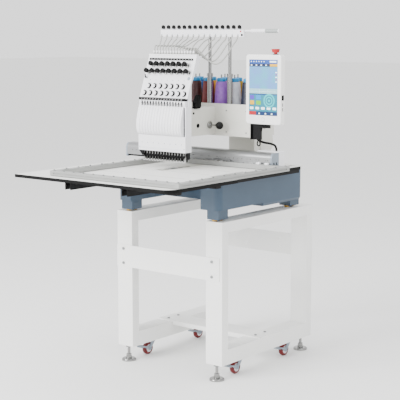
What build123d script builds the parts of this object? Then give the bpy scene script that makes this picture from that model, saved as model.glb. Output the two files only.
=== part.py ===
"""A fifteen-needle, single-head embroidery machine on a tube-steel stand.

X runs to the machine's right, Y to its back and Z up, in millimetres. The origin is on
the floor under the middle of the whole machine's box. Most places are measured from the
middle of the stand, which the planes and helpers below stand on.
"""
import os
from math import cos, radians, sin, tan

from build123d import *

# ---- Driving dimensions ------------------------------------------------------------
# Overall reaches, from the middle of the stand
table_front = -781.0
table_left = -383.0
column_rear = 320.0
beam_left = -459.0
tablet_right = 407.0

# Stand of rectangular steel tube
stand_width = 548.0
stand_depth = 632.0
stand_top = 638.0
leg_across = 80.0
leg_deep = 40.0
leg_bottom = 66.0
rail_top_height = 42.0
rail_bottom_height = 60.0
tube_wall = 3.0
plate_thickness = 3.0

# Clearances
running = 0.05
seat_gap = 0.3

# Levelling feet and castors
foot_thread = 6.0
foot_pad = 30.0
wheel_radius = 27.0
wheel_width = 20.0
castor_trail = 22.0
axle_radius = 4.0
swivel_pin = 5.0

# Base casting and table
base_half = 264.0
base_front = -326.0
base_rear = 257.0
base_front_bottom = 683.0
base_rear_bottom = 669.0
table_thickness = 12.0
table_top = 824.0
table_edge = 3.0
leaf_right = 403.0
leaf_rear = -388.0
rear_leaf_right = 341.0
rear_leaf_front = -167.0
table_rear = 172.0
slot_middle = 297.0
slot_width = 24.0

# Sewing head
needle_x = -23.0
needle_y = -260.0
needle_pitch = 14.8
needles = 15
needles_right = 4
arm_bottom = 952.0
arm_top = 1065.0
arm_front = -228.0
box_front = -58.0
box_rear = 110.0
box_left = -262.0
box_right = 217.0
tray_top = 1078.0
case_left = -190.0
case_right = 57.0
case_front = -275.0
case_rear = -236.0
case_bottom = 891.0
case_plate_top = 955.0
cover_top = 1075.0
board_bottom = 1105.0
board_top = 1273.0
board_lean = 20.0

# Beam and pantograph
beam_right = 313.0
beam_front = -55.0
beam_rear = -5.0
beam_bottom = 839.0
beam_top = 888.0
frame_left = -233.0
frame_right = 409.0
frame_front = -740.0
frame_bottom = 826.0
frame_top = 844.0
frame_bar = 26.0

# Thread stand and tablet
rail_left = -259.0
rail_right = 176.0
rail_y = -42.0
rail_bottom = 1348.0
rail_height = 28.0
guide_pitch = 28.6
guide_first = -252.0
post_places = (-2.0, 101.0)
post_radius = 7.0
tablet_left = 239.0
tablet_bottom = 1009.0
tablet_top = 1281.0
tablet_front = -120.0
tablet_thickness = 26.0

# ---- The datum: the stand's middle, seen from the middle of the whole box ------------
stand_x = -(beam_left + tablet_right) / 2
stand_y = -(table_front + column_rear) / 2
half_width = stand_width / 2
half_depth = stand_depth / 2
table_bottom = table_top - table_thickness


def level(z):
    """A horizontal plane at a height, its origin over the stand's middle."""
    return Plane(origin=(stand_x, stand_y, z), x_dir=(1, 0, 0), z_dir=(0, 0, 1))


def facing_front(y):
    """An upright plane facing the front: local x is X and local y is Z."""
    return Plane(origin=(stand_x, stand_y + y, 0), x_dir=(1, 0, 0), z_dir=(0, -1, 0))


def facing_right(x):
    """An upright plane facing right: local x is Y and local y is Z."""
    return Plane(origin=(stand_x + x, stand_y, 0), x_dir=(0, 1, 0), z_dir=(1, 0, 0))


def block(x, y, z, mode=Mode.ADD):
    """A box given by its two values on each axis, from the stand's middle on the floor."""
    with Locations((stand_x + sum(x) / 2, stand_y + sum(y) / 2, sum(z) / 2)):
        Box(abs(x[1] - x[0]), abs(y[1] - y[0]), abs(z[1] - z[0]), mode=mode)


def rod(start, direction, radius, length, mode=Mode.ADD):
    """A round bar from a point along a direction."""
    place = Plane(origin=(stand_x + start[0], stand_y + start[1], start[2]), z_dir=direction)
    with Locations(place.location):
        Cylinder(radius, length, align=(Align.CENTER, Align.CENTER, Align.MIN), mode=mode)


def hexagon(x, y, z, across, height, mode=Mode.ADD):
    """A hexagonal prism standing on a height, with its width across the flats."""
    with BuildSketch(level(z)) as outline:
        with Locations((x, y)):
            RegularPolygon(across / 2, 6, major_radius=False)
    extrude(outline.sketch, amount=height, mode=mode)


def needle_place(number):
    """The place along X of one needle, counted from the left."""
    return needle_x + needle_pitch * (number - needles + 1 + needles_right)


def save(piece, name):
    """Label a finished piece and write its STEP file."""
    piece.part.label = name
    export_step(piece.part, f"parts/{name}.step")


os.makedirs("parts", exist_ok=True)

# ---- Stand ---------------------------------------------------------------------------
window = (leg_bottom + rail_bottom_height, stand_top - rail_top_height)
foot_places = {
    f"{end}_{side}": (x_sign * (half_width - leg_across / 2), y_sign * (half_depth - leg_deep / 2))
    for end, y_sign in (("front", -1), ("rear", 1))
    for side, x_sign in (("left", -1), ("right", 1))
}

for side, inner in (("left", -half_width), ("right", half_width - leg_across)):
    with BuildPart() as side_frame:
        for wall, mode in ((0.0, Mode.ADD), (tube_wall, Mode.SUBTRACT)):
            with BuildSketch(facing_right(inner + wall)):
                with Locations((0, (leg_bottom + stand_top) / 2)):
                    Rectangle(stand_depth - 2 * wall, stand_top - leg_bottom - 2 * wall)
                with Locations((0, sum(window) / 2)):
                    Rectangle(stand_depth - 2 * leg_deep + 2 * wall,
                              window[1] - window[0] + 2 * wall, mode=Mode.SUBTRACT)
            extrude(amount=leg_across - 2 * wall, mode=mode)
        for y in (-half_depth + leg_deep / 2, half_depth - leg_deep / 2):
            rod((inner + leg_across / 2, y, leg_bottom - 1), (0, 0, 1), foot_thread + running,
                tube_wall + 2, Mode.SUBTRACT)
    save(side_frame, f"stand_side_frame_{side}")

front_plate_z = (404.0, 496.0)
rear_plate_z = (408.0, 500.0)
bracket_spacing_x = 175.0
bracket_spacing_z = 36.0
bracket_hole = 4.0
bracket_x = 18.0
bracket_z = sum(rear_plate_z) / 2
with BuildPart() as stand_plates:
    block((-half_width, half_width - 12), (-half_depth - plate_thickness, -half_depth), front_plate_z)
    block((-half_width, half_width), (half_depth, half_depth + plate_thickness), rear_plate_z)
    for x in (-bracket_spacing_x / 2, bracket_spacing_x / 2):
        for z in (-bracket_spacing_z / 2, bracket_spacing_z / 2):
            rod((bracket_x + x, half_depth - 1, bracket_z + z), (0, 1, 0), bracket_hole,
                plate_thickness + 2, Mode.SUBTRACT)
save(stand_plates, "stand_cross_plates")

channel_y = (-60.0, 50.0)
channel_z = window[0]
channel_thickness = 4.0
channel_flange = 14.0
with BuildPart() as cross_channel:
    block((-half_width, half_width), channel_y, (channel_z, channel_z + channel_thickness))
    for y in (channel_y[0], channel_y[1] - channel_thickness):
        block((-half_width + leg_across + 1, half_width - leg_across - 1), (y, y + channel_thickness),
              (channel_z - channel_flange, channel_z))
save(cross_channel, "stand_cross_channel")

for corner, (x, y) in foot_places.items():
    with BuildPart() as foot:
        rod((x, y, 0), (0, 0, 1), foot_pad, 10)
        fillet(foot.edges().filter_by(GeomType.CIRCLE).sort_by(Axis.Z)[-1], 6)
        rod((x, y, 10), (0, 0, 1), 12, 8)
        hexagon(x, y, 18, 20, 10)
        rod((x, y, 28), (0, 0, 1), foot_thread, 74)
    save(foot, f"levelling_foot_{corner}")

# ---- Castors -------------------------------------------------------------------------
castor_places = {
    "front_left": (-half_width + leg_across / 2, -155.0),
    "front_right": (half_width - leg_across / 2, -155.0),
    "rear_left": (-half_width + leg_across / 2, 190.0),
    "rear_right": (half_width - leg_across / 2, 190.0),
}
plate_z = leg_bottom - 4
crown_z = (55.0, plate_z - seat_gap)
arm_gap = wheel_width / 2 + 0.8
arm_thickness = 2.5
with BuildPart() as castor_plates:
    for x, y in castor_places.values():
        block((x - 30, x + 30), (y - 32, y + 32), (plate_z, leg_bottom))
        rod((x, y, crown_z[0] - 0.5), (0, 0, 1), swivel_pin, plate_z - crown_z[0] + 0.5)
save(castor_plates, "castor_plates")

for corner, (x, y) in castor_places.items():
    wheel_y = y - castor_trail
    with BuildPart() as fork:
        rod((x, y, crown_z[0]), (0, 0, 1), 19, crown_z[1] - crown_z[0])
        for side in (-1, 1):
            x_near = x + side * arm_gap
            x_far = x + side * (arm_gap + arm_thickness)
            with BuildSketch(facing_right(min(x_near, x_far))):
                with BuildLine():
                    Polyline((wheel_y - 7, wheel_radius), (wheel_y + 3, wheel_radius - 7),
                             (wheel_y + 9, wheel_radius - 3), (y + 12, crown_z[0] + 1),
                             (y - 12, crown_z[0] + 1), (wheel_y - 7, wheel_radius), close=True)
                make_face()
            extrude(amount=arm_thickness)
        rod((x - arm_gap - arm_thickness - 4, wheel_y, wheel_radius), (1, 0, 0), axle_radius,
            2 * (arm_gap + arm_thickness + 4))
        rod((x, y, crown_z[0] - 1), (0, 0, 1), swivel_pin + running, 10, Mode.SUBTRACT)
        for side in (-1, 1):
            x_near = x + side * (arm_gap + arm_thickness + seat_gap)
            x_far = x_near + side * 2
            with BuildSketch(facing_right(min(x_near, x_far))):
                with BuildLine():
                    Polyline((wheel_y + 7, wheel_radius - 7), (wheel_y + 7, wheel_radius + 7),
                             (wheel_y - 34, wheel_radius + 16), (wheel_y - 34, wheel_radius + 10),
                             (wheel_y - 7, wheel_radius - 7), close=True)
                make_face()
            extrude(amount=2)
        reach = arm_gap + arm_thickness + seat_gap + 2
        block((x - reach, x + reach), (wheel_y - 52, wheel_y - 33), (wheel_radius + 11, wheel_radius + 16))
    save(fork, f"castor_fork_{corner}")

    with BuildPart() as wheel:
        with BuildSketch(Plane(origin=(stand_x + x, stand_y + wheel_y, wheel_radius),
                               x_dir=(1, 0, 0), z_dir=(0, -1, 0))):
            with BuildLine():
                half = wheel_width / 2
                Polyline((-half, axle_radius + running), (-half, 16), (-half + 2, 18),
                         (-half, 20), (-half, wheel_radius - 3))
                ThreePointArc((-half, wheel_radius - 3), (0, wheel_radius), (half, wheel_radius - 3))
                Polyline((half, wheel_radius - 3), (half, 20), (half - 2, 18), (half, 16),
                         (half, axle_radius + running), (-half, axle_radius + running))
            make_face()
        revolve(axis=Axis((stand_x + x, stand_y + wheel_y, wheel_radius), (1, 0, 0)))
    save(wheel, f"castor_wheel_{corner}")


# ---- Base casting --------------------------------------------------------------------
base_arm_inner = (-190.0, 175.0)
base_cross_front = -60.0
base_step = -30.0
base_wall = 9.0
tongue_x = (-76.0, 30.0)
tongue_bottom = 768.0
tongue_front = -345.0
pad_x = (196.0, 252.0)
pad_front_y = (-312.0, -250.0)
pad_rear_y = (180.0, 245.0)
pad_bottom = stand_top + 7
with BuildPart() as base_casting:
    with BuildSketch(level(base_rear_bottom)):
        with Locations((0, (base_front + base_rear) / 2)):
            RectangleRounded(2 * base_half, base_rear - base_front, 28)
    extrude(amount=table_bottom - base_rear_bottom)
    chamfer(base_casting.edges().filter_by(Plane.XY).group_by(Axis.Z)[0], 10, 5)
    block((-base_half - 1, base_half + 1), (base_front - 1, base_step),
          (base_rear_bottom - 1, base_front_bottom), Mode.SUBTRACT)
    block(base_arm_inner, (base_front - 1, base_cross_front), (base_front_bottom - 1, table_bottom + 1),
          Mode.SUBTRACT)
    block((-base_half + base_wall, base_half - base_wall), (base_step + base_wall, base_rear - base_wall),
          (base_rear_bottom - 1, table_bottom - base_wall), Mode.SUBTRACT)
    for x in ((-base_half + base_wall, base_arm_inner[0] - base_wall),
              (base_arm_inner[1] + base_wall, base_half - base_wall)):
        block(x, (base_front + base_wall, base_cross_front - base_wall),
              (base_front_bottom + base_wall, table_bottom - base_wall), Mode.SUBTRACT)
    block(tongue_x, (tongue_front, base_cross_front), (tongue_bottom, table_bottom))
    for side in (-1, 1):
        x = tuple(sorted((side * pad_x[0], side * pad_x[1])))
        block(x, pad_front_y, (pad_bottom, base_front_bottom + base_wall))
        block(x, pad_rear_y, (pad_bottom, table_bottom - base_wall))
    hook_pocket = (needle_x - 30, needle_x + 30)
    block(hook_pocket, (needle_y - 28, needle_y + 40), (tongue_bottom + 4, table_bottom + 1), Mode.SUBTRACT)
save(base_casting, "base_casting")

# ---- Table ---------------------------------------------------------------------------
bed_half = 30.0
bed_x = (needle_x - bed_half, needle_x + bed_half)
bed_front = tongue_front
bed_rear = base_cross_front
leaf_seam = 250.0
left_slot_front = -260.0
slot_rear = 130.0
with BuildPart() as table_panels:
    with BuildSketch(level(table_bottom)):
        with BuildLine():
            Polyline((table_left + table_edge, table_front + table_edge),
                     (leaf_seam, table_front + table_edge), (leaf_seam, leaf_rear),
                     (base_half, leaf_rear), (base_half, rear_leaf_front),
                     (rear_leaf_right - table_edge, rear_leaf_front),
                     (rear_leaf_right - table_edge, table_rear - table_edge),
                     (table_left + table_edge, table_rear - table_edge),
                     (table_left + table_edge, table_front + table_edge))
        make_face()
        with Locations(((bed_x[0] + bed_x[1]) / 2, (bed_front + bed_rear) / 2)):
            Rectangle(bed_x[1] - bed_x[0] + 1, bed_rear - bed_front + 1, mode=Mode.SUBTRACT)
        for middle, front in ((-slot_middle, left_slot_front), (slot_middle, rear_leaf_front)):
            with Locations((middle, (front + slot_rear) / 2)):
                Rectangle(slot_width, slot_rear - front, mode=Mode.SUBTRACT)
    extrude(amount=table_thickness)
    corners = table_panels.edges().filter_by(Axis.Z)
    fillet(corners.sort_by(Axis.Y)[-2:], 45)
    with BuildSketch(level(table_bottom)):
        with Locations(((leaf_seam + seat_gap + leaf_right - table_edge) / 2,
                        (table_front + table_edge + leaf_rear) / 2)):
            Rectangle(leaf_right - table_edge - leaf_seam - seat_gap,
                      leaf_rear - table_front - table_edge)
    extrude(amount=table_thickness)
    fillet(table_panels.edges().filter_by(Axis.Z).group_by(Axis.X)[-1].sort_by(Axis.Y)[0], 45)
save(table_panels, "table_panels")

leaf_bracket_z = table_bottom - 18
beam_support_z = (774.0, table_bottom)
with BuildPart() as table_supports:
    for y in (-700.0, -470.0):
        block((leaf_seam - 90, leaf_right - 40), (y, y + 30), (leaf_bracket_z, table_bottom))
        block((leaf_seam - 86, leaf_right - 44), (y + 3, y + 27), (leaf_bracket_z - 1, table_bottom - 3),
              Mode.SUBTRACT)
    for x in (-170.0, 120.0):
        block((x, x + 30), (table_front + 60, base_cross_front), beam_support_z)
        block((x + 3, x + 27), (table_front + 59, base_cross_front + 1),
              (beam_support_z[0] - 1, table_bottom - 3), Mode.SUBTRACT)
save(table_supports, "table_supports")

with BuildPart() as table_band:
    with BuildSketch(level(table_bottom - 1)):
        with BuildLine():
            Polyline((table_left, table_front), (leaf_seam, table_front),
                     (leaf_seam, table_front + table_edge), (table_left + table_edge, table_front + table_edge),
                     (table_left + table_edge, table_rear - 60), (table_left, table_rear - 60),
                     (table_left, table_front))
        make_face()
    extrude(amount=table_thickness)
    with BuildSketch(level(table_bottom - 1)):
        with BuildLine():
            Polyline((rear_leaf_right - table_edge, rear_leaf_front), (rear_leaf_right, rear_leaf_front),
                     (rear_leaf_right, table_rear - 50), (rear_leaf_right - table_edge, table_rear - 50),
                     (rear_leaf_right - table_edge, rear_leaf_front))
        make_face()
    extrude(amount=table_thickness)
    with BuildSketch(level(table_bottom - 1)):
        with BuildLine():
            Polyline((leaf_seam + seat_gap, table_front), (leaf_right - 45 - table_edge, table_front))
            ThreePointArc((leaf_right - 45 - table_edge, table_front),
                          (leaf_right - table_edge - 45 + 48 * cos(radians(45)),
                           table_front + 48 - 48 * sin(radians(45))),
                          (leaf_right, table_front + 48))
            Polyline((leaf_right, table_front + 48), (leaf_right, leaf_rear),
                     (leaf_right - table_edge, leaf_rear), (leaf_right - table_edge, table_front + 48))
            ThreePointArc((leaf_right - table_edge, table_front + 48),
                          (leaf_right - table_edge - 45 + 45 * cos(radians(45)),
                           table_front + 48 - 45 * sin(radians(45))),
                          (leaf_right - table_edge - 45, table_front + table_edge))
            Polyline((leaf_right - table_edge - 45, table_front + table_edge),
                     (leaf_seam + seat_gap, table_front + table_edge), (leaf_seam + seat_gap, table_front))
        make_face()
    extrude(amount=table_thickness)
save(table_band, "table_edge_band")

# ---- Y rails beside the base ---------------------------------------------------------
rail_channel_z = (792.0, table_bottom)
rail_channel_y = (-380.0, 160.0)
slider_width = 14.0
with BuildPart() as y_rails:
    for side in (-1, 1):
        x = tuple(sorted((side * base_half, side * (slot_middle + slot_width / 2))))
        block(x, rail_channel_y, rail_channel_z)
        block((side * slot_middle - slider_width / 2 - 1, side * slot_middle + slider_width / 2 + 1),
              (rail_channel_y[0] + 6, rail_channel_y[1] - 6), (rail_channel_z[0] + 6, table_bottom + 1),
              Mode.SUBTRACT)
save(y_rails, "y_rails")

# ---- Bed arm, needle plate and rotary hook -------------------------------------------
hook_radius = 15.5
hook_wall = 3.0
hook_z = 793.0
hook_y = (needle_y + 4, needle_y + 22)
shaft_radius = 6.0
plate_seat = 3.0
plate_y = (needle_y - 30, needle_y + 40)
with BuildPart() as bed_arm:
    block(bed_x, (bed_front, bed_rear), (table_bottom, table_top))
    block((bed_x[0] + 8, bed_x[1] - 8), plate_y, (table_top - plate_seat, table_top + 1), Mode.SUBTRACT)
    block((needle_x - 24, needle_x + 24), (plate_y[0] + 4, plate_y[1] - 4),
          (table_bottom - 1, table_top), Mode.SUBTRACT)
    block(hook_pocket, (hook_y[1] + 4, needle_y + 40), (tongue_bottom + 4, table_bottom))
    rod((needle_x, hook_y[1] + 3, hook_z), (0, 1, 0), shaft_radius + running, 20, Mode.SUBTRACT)
save(bed_arm, "bed_arm")

with BuildPart() as needle_plate:
    block((bed_x[0] + 8, bed_x[1] - 8), plate_y, (table_top - plate_seat, table_top))
    rod((needle_x, needle_y, table_top - plate_seat - 1), (0, 0, 1), 2.5, plate_seat + 2, Mode.SUBTRACT)
save(needle_plate, "needle_plate")

with BuildPart() as rotary_hook:
    rod((needle_x, hook_y[0], hook_z), (0, 1, 0), hook_radius, hook_y[1] - hook_y[0])
    rod((needle_x, hook_y[0] - 1, hook_z), (0, 1, 0), hook_radius - hook_wall, 15, Mode.SUBTRACT)
    block((needle_x - 8, needle_x + 8), (hook_y[0] - 1, hook_y[0] + 10),
          (hook_z + hook_radius - 6, hook_z + hook_radius + 1), Mode.SUBTRACT)
    rod((needle_x, hook_y[1], hook_z), (0, 1, 0), shaft_radius, 14)
save(rotary_hook, "rotary_hook")

with BuildPart() as bobbin_case:
    rod((needle_x, hook_y[0] - 3, hook_z), (0, 1, 0), hook_radius - hook_wall - seat_gap, 14)
    rod((needle_x, hook_y[0] - 4, hook_z), (0, 1, 0), 3, 18, Mode.SUBTRACT)
    rod((needle_x, hook_y[0] - 3, hook_z), (0, 1, 0), hook_radius - hook_wall - 4, 2, Mode.SUBTRACT)
save(bobbin_case, "bobbin_case")

# ---- X beam, its motor cover and the pantograph frame --------------------------------
beam_nose = 14.0
beam_wall = 4.0
with BuildPart() as x_beam:
    with BuildSketch(facing_right(beam_left + 8)):
        with BuildLine():
            Polyline((beam_front, beam_bottom), (beam_rear, beam_bottom), (beam_rear, beam_top),
                     (beam_front + beam_nose, beam_top))
            RadiusArc((beam_front + beam_nose, beam_top), (beam_front, beam_top - beam_nose * 1.6), -beam_nose * 1.5)
            Line((beam_front, beam_top - beam_nose * 1.6), (beam_front, beam_bottom))
        make_face()
        with Locations(((beam_front + beam_rear) / 2 + 4, (beam_bottom + beam_top) / 2)):
            Rectangle(beam_rear - beam_front - 4 * beam_wall, beam_top - beam_bottom - 3 * beam_wall,
                      mode=Mode.SUBTRACT)
    extrude(amount=beam_right - beam_left - 8)
    for step in range(16):
        rod((beam_left + 60 + 46 * step, beam_front - 1, beam_bottom + 20), (0, 1, 0), 1.8,
            beam_wall + 5, Mode.SUBTRACT)
save(x_beam, "x_beam")

end_foot = (beam_front + 8, beam_rear - 12)
motor_x = (212.0, beam_right)
motor_y = (beam_rear, 52.0)
motor_z = (828.0, 891.0)
motor_middle = sum(motor_x) / 2
with BuildPart() as beam_ends:
    for side, x in ((-1, (beam_left, beam_left + 8)), (1, (beam_right, beam_right + 8))):
        with BuildSketch(facing_right(x[0])):
            with BuildLine():
                Polyline((beam_front, beam_bottom - 10), (beam_rear, beam_bottom - 10), (beam_rear, beam_top),
                         (beam_front + beam_nose, beam_top))
                RadiusArc((beam_front + beam_nose, beam_top), (beam_front, beam_top - beam_nose * 1.6), -beam_nose * 1.5)
                Line((beam_front, beam_top - beam_nose * 1.6), (beam_front, beam_bottom - 10))
            make_face()
        extrude(amount=x[1] - x[0])
    for side in (-1, 1):
        middle = side * slot_middle
        block((middle - 10, middle + 10), end_foot, (table_top + 3, beam_bottom))
        block((middle - slider_width / 2, middle + slider_width / 2), end_foot,
              (rail_channel_z[0] + 6 + seat_gap, table_top + 3))
    block((motor_middle - 20, motor_middle + 20), (beam_rear, beam_rear + 42), (beam_bottom + 3, beam_top - 4))
save(beam_ends, "beam_drive")
with BuildPart() as motor_cover:
    block(motor_x, motor_y, motor_z)
    fillet(motor_cover.edges().filter_by(Axis.Z).sort_by(Axis.Y)[-2:], 8)
    fillet(motor_cover.edges().group_by(Axis.Z)[-1], 4)
    block((motor_x[0] + 3, motor_x[1] - 3), (motor_y[0] - 1, motor_y[1] - 3),
          (motor_z[0] - 1, motor_z[1] - 3), Mode.SUBTRACT)
save(motor_cover, "x_motor_cover")

carriage_x = (30.0, 120.0)
carriage_y = (beam_front - 12.0, beam_front - seat_gap)
with BuildPart() as x_carriage:
    block(carriage_x, carriage_y, (frame_top, beam_bottom + 12))
    block((carriage_x[0] + 10, carriage_x[1] - 10), (carriage_y[0] - 14, carriage_y[0]),
          (frame_top, frame_top + 4))
save(x_carriage, "x_carriage")

frame_rear = beam_front - seat_gap
groove = 5.0
clamp_y = [frame_front + 60 + 110 * step for step in range(5)]
with BuildPart() as pantograph_frame:
    with BuildSketch(level(frame_bottom)):
        with Locations(((frame_left + frame_right) / 2, (frame_front + frame_rear) / 2)):
            RectangleRounded(frame_right - frame_left, frame_rear - frame_front, 4)
            Rectangle(frame_right - frame_left - 2 * frame_bar, frame_rear - frame_front - 2 * frame_bar,
                      mode=Mode.SUBTRACT)
    extrude(amount=frame_top - frame_bottom)
    groove_z = ((frame_bottom + frame_top) / 2 - groove / 2, (frame_bottom + frame_top) / 2 + groove / 2)
    block((frame_left + 20, frame_right - 20), (frame_front - 1, frame_front + 3), groove_z, Mode.SUBTRACT)
    for x in ((frame_left - 1, frame_left + 3), (frame_right - 3, frame_right + 1)):
        block(x, (frame_front + 20, frame_rear - 20), groove_z, Mode.SUBTRACT)
    for y in clamp_y:
        for x, width in ((frame_left, frame_bar), (frame_right - frame_bar, frame_bar)):
            block((x + 5, x + width - 5), (y, y + 24), (frame_top, frame_top + 1.6))
    for x in (frame_left + 13, frame_right - 13):
        for y in (frame_front + 13, frame_rear - 13):
            rod((x, y, frame_top), (0, 0, 1), 7, 1.6)
save(pantograph_frame, "pantograph_frame")

# ---- Column, arm and boxes -----------------------------------------------------------
arm_x = (needle_x - 60, needle_x + 60)
column_x = (-71.0, 65.0)
column_front = 180.0
column_wall = 12.0
with BuildPart() as column:
    with BuildSketch(facing_right(column_x[0])):
        with BuildLine():
            Polyline((column_front, table_bottom), (base_rear - 4, table_bottom), (column_rear, 880),
                     (column_rear - 30, arm_top), (box_rear, arm_top), (box_rear, arm_bottom),
                     (column_front, arm_bottom), (column_front, table_bottom))
        make_face()
    extrude(amount=column_x[1] - column_x[0])
    fillet(column.edges().filter_by(Axis.X).group_by(Axis.Z)[-1], 8)
    block((column_x[0] + column_wall, column_x[1] - column_wall), (column_front + column_wall, base_rear - 18),
          (table_bottom - 1, arm_top - column_wall), Mode.SUBTRACT)
    with BuildSketch(facing_right(column_x[1])):
        with BuildLine():
            Polyline((column_front + 30, table_bottom + 8), (base_rear - 8, table_bottom + 8),
                     (column_rear - 6, 878), (column_rear - 30, arm_bottom + 10),
                     (column_front + 58, arm_bottom + 10), (column_front + 30, table_bottom + 8))
        make_face()
    extrude(amount=4)
save(column, "column_casting")

knob_y = -96.0
knob_reach = 53.0
arm_wall = 10.0
knob_z = 992.0
with BuildPart() as upper_arm:
    block(arm_x, (arm_front, box_front), (arm_bottom, arm_top))
    fillet(upper_arm.edges().filter_by(Axis.Y).group_by(Axis.Z)[-1], 10)
    rod((arm_x[1] - 40, knob_y, knob_z), (1, 0, 0), shaft_radius + running, 42, Mode.SUBTRACT)
    block((arm_x[0] + arm_wall, arm_x[1] - 42), (arm_front + arm_wall, box_front + 1),
          (arm_bottom + arm_wall, arm_top - arm_wall), Mode.SUBTRACT)
save(upper_arm, "upper_arm")

tray_x = (box_left + 6, box_right - 2)
with BuildPart() as cross_box:
    block((box_left, box_right), (box_front, box_rear), (arm_bottom - 5, arm_top))
    fillet(cross_box.edges().filter_by(Axis.Z), 3)
    block((box_left + 3, box_right - 3), (box_front + 3, box_rear - 3), (arm_bottom - 2, arm_top - 3),
          Mode.SUBTRACT)
    rod((box_right - 4, 40, knob_z), (1, 0, 0), 16, 6, Mode.SUBTRACT)
    block(tray_x, (box_front, box_rear), (arm_top, tray_top))
    block((tray_x[0] + 4, tray_x[1] - 4), (box_front + 4, box_rear - 4), (arm_top + 3, tray_top + 1),
          Mode.SUBTRACT)
save(cross_box, "cross_box")

# ---- Fasteners ------------------------------------------------------------------------
bolt_head = 5.5
locknut_z = leg_bottom - 8
box_screws = [(x, z) for x in (96.0, 196.0) for z in (arm_bottom + 12, arm_top - 14)]
with BuildPart() as fasteners:
    for x in (-half_width + 36, half_width - 48):
        for z in (front_plate_z[0] + 16, front_plate_z[1] - 16):
            rod((x, -half_depth - plate_thickness, z), (0, -1, 0), bolt_head, 4)
            rod((x, half_depth + plate_thickness, z), (0, 1, 0), bolt_head, 4)
    for x in (-half_width + leg_across / 2, half_width - leg_across / 2):
        for y in (-37, 29):
            rod((x, y, channel_z + channel_thickness), (0, 0, 1), bolt_head, 4)
    for x, y in foot_places.values():
        hexagon(x, y, locknut_z, 24, 8)
        rod((x, y, locknut_z - 1), (0, 0, 1), foot_thread + running, 10, Mode.SUBTRACT)
    for x, z in box_screws:
        rod((x, box_front, z), (0, -1, 0), 3, 1.5)
    for side in (-1, 1):
        for y in (pad_front_y[0] + 14, pad_front_y[1] - 14, pad_rear_y[0] + 14, pad_rear_y[1] - 14):
            hexagon(side * (pad_x[0] + 28), y, stand_top, 18, pad_bottom - stand_top)
save(fasteners, "fasteners")
with BuildPart() as hand_knob:
    rod((arm_x[1] - 38, knob_y, knob_z), (1, 0, 0), shaft_radius, 38 + 2 * seat_gap)
    rod((arm_x[1] + seat_gap, knob_y, knob_z), (1, 0, 0), 15, 6)
    rod((arm_x[1] + seat_gap + 6, knob_y, knob_z), (1, 0, 0), 4, knob_reach - 16)
    with Locations((stand_x + arm_x[1] + knob_reach, stand_y + knob_y, knob_z)):
        Sphere(16)
save(hand_knob, "main_shaft_knob")

# ---- Needle case ---------------------------------------------------------------------
case_x = (case_left, case_right)
guide_z = (1030.0, 1046.0)
with BuildPart() as case_rail:
    block((arm_x[0], arm_x[1]), (case_rear + seat_gap, arm_front), guide_z)
save(case_rail, "needle_case_rail")

with BuildPart() as case_body:
    block(case_x, (case_front + 3, case_rear), (case_bottom, cover_top))
    block((case_left + 4, case_right - 4), (case_front + 2, case_rear - 6), (case_bottom + 6, cover_top - 4),
          Mode.SUBTRACT)
    for number in range(needles):
        x = needle_place(number)
        rod((x, needle_y, case_bottom - 1), (0, 0, 1), 3 + running, 8, Mode.SUBTRACT)
        block((x - 3, x + 3), (needle_y + 7, needle_y + 13), (case_bottom - 1, case_bottom + 7), Mode.SUBTRACT)
    block((case_left, case_right), (case_rear - 16, case_rear), (cover_top, board_bottom))
    block(case_x, (case_front, case_front + 3), (case_bottom, case_plate_top))
save(case_body, "needle_case_body")

rib_bulge = 22.0
with BuildPart() as cover:
    with BuildSketch(facing_right(case_left + 4)):
        with BuildLine():
            Line((case_front + 3, cover_top), (case_front + 3, case_plate_top))
            Spline((case_front + 3, case_plate_top), (case_front - rib_bulge + 4, case_plate_top + 16),
                   (case_front - rib_bulge, case_plate_top + 50), (case_front - 4, cover_top - 6),
                   (case_front + 3, cover_top))
        make_face()
    extrude(amount=case_right - case_left - 14)
    with BuildSketch(facing_right(case_left + 8)):
        with BuildLine():
            Line((case_front + 4, cover_top - 6), (case_front + 4, case_plate_top + 6))
            Spline((case_front + 4, case_plate_top + 6), (case_front - rib_bulge + 9, case_plate_top + 20),
                   (case_front - rib_bulge + 4, case_plate_top + 50), (case_front, cover_top - 12),
                   (case_front + 4, cover_top - 6))
        make_face()
    extrude(amount=case_right - case_left - 22, mode=Mode.SUBTRACT)
save(cover, "take_up_cover")

lean = tan(radians(board_lean))
board_thick = 12.0
panel_thick = 3.0


def board_y(z):
    """The leaning tension board's front face at a height."""
    return case_front + 12 + (z - board_bottom) * lean


top_y = board_y(board_top) + board_thick / 2
with BuildPart() as board:
    with BuildSketch(facing_right(case_left)):
        with BuildLine():
            Polyline((board_y(board_bottom), board_bottom), (board_y(board_top), board_top),
                     (board_y(board_top) + board_thick, board_top),
                     (board_y(board_bottom) + board_thick, board_bottom),
                     (board_y(board_bottom), board_bottom))
        make_face()
    extrude(amount=case_right - case_left - panel_thick)
    for x in (case_left - panel_thick, case_right - panel_thick):
        with BuildSketch(facing_right(x)):
            with BuildLine():
                Polyline((board_y(board_bottom), board_bottom), (board_y(board_top), board_top),
                         (board_y(board_top) + 34, board_top), (case_rear, board_bottom + 60),
                         (case_rear, board_bottom), (board_y(board_bottom), board_bottom))
            make_face()
        extrude(amount=panel_thick)
    block((case_left - panel_thick, case_right), (top_y - 7, top_y + 7), (board_top, board_top + 6))
    for number in range(needles):
        rod((needle_place(number), top_y, board_top + 6), (0, 0, 1), 4, 14)
save(board, "tension_board")

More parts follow.
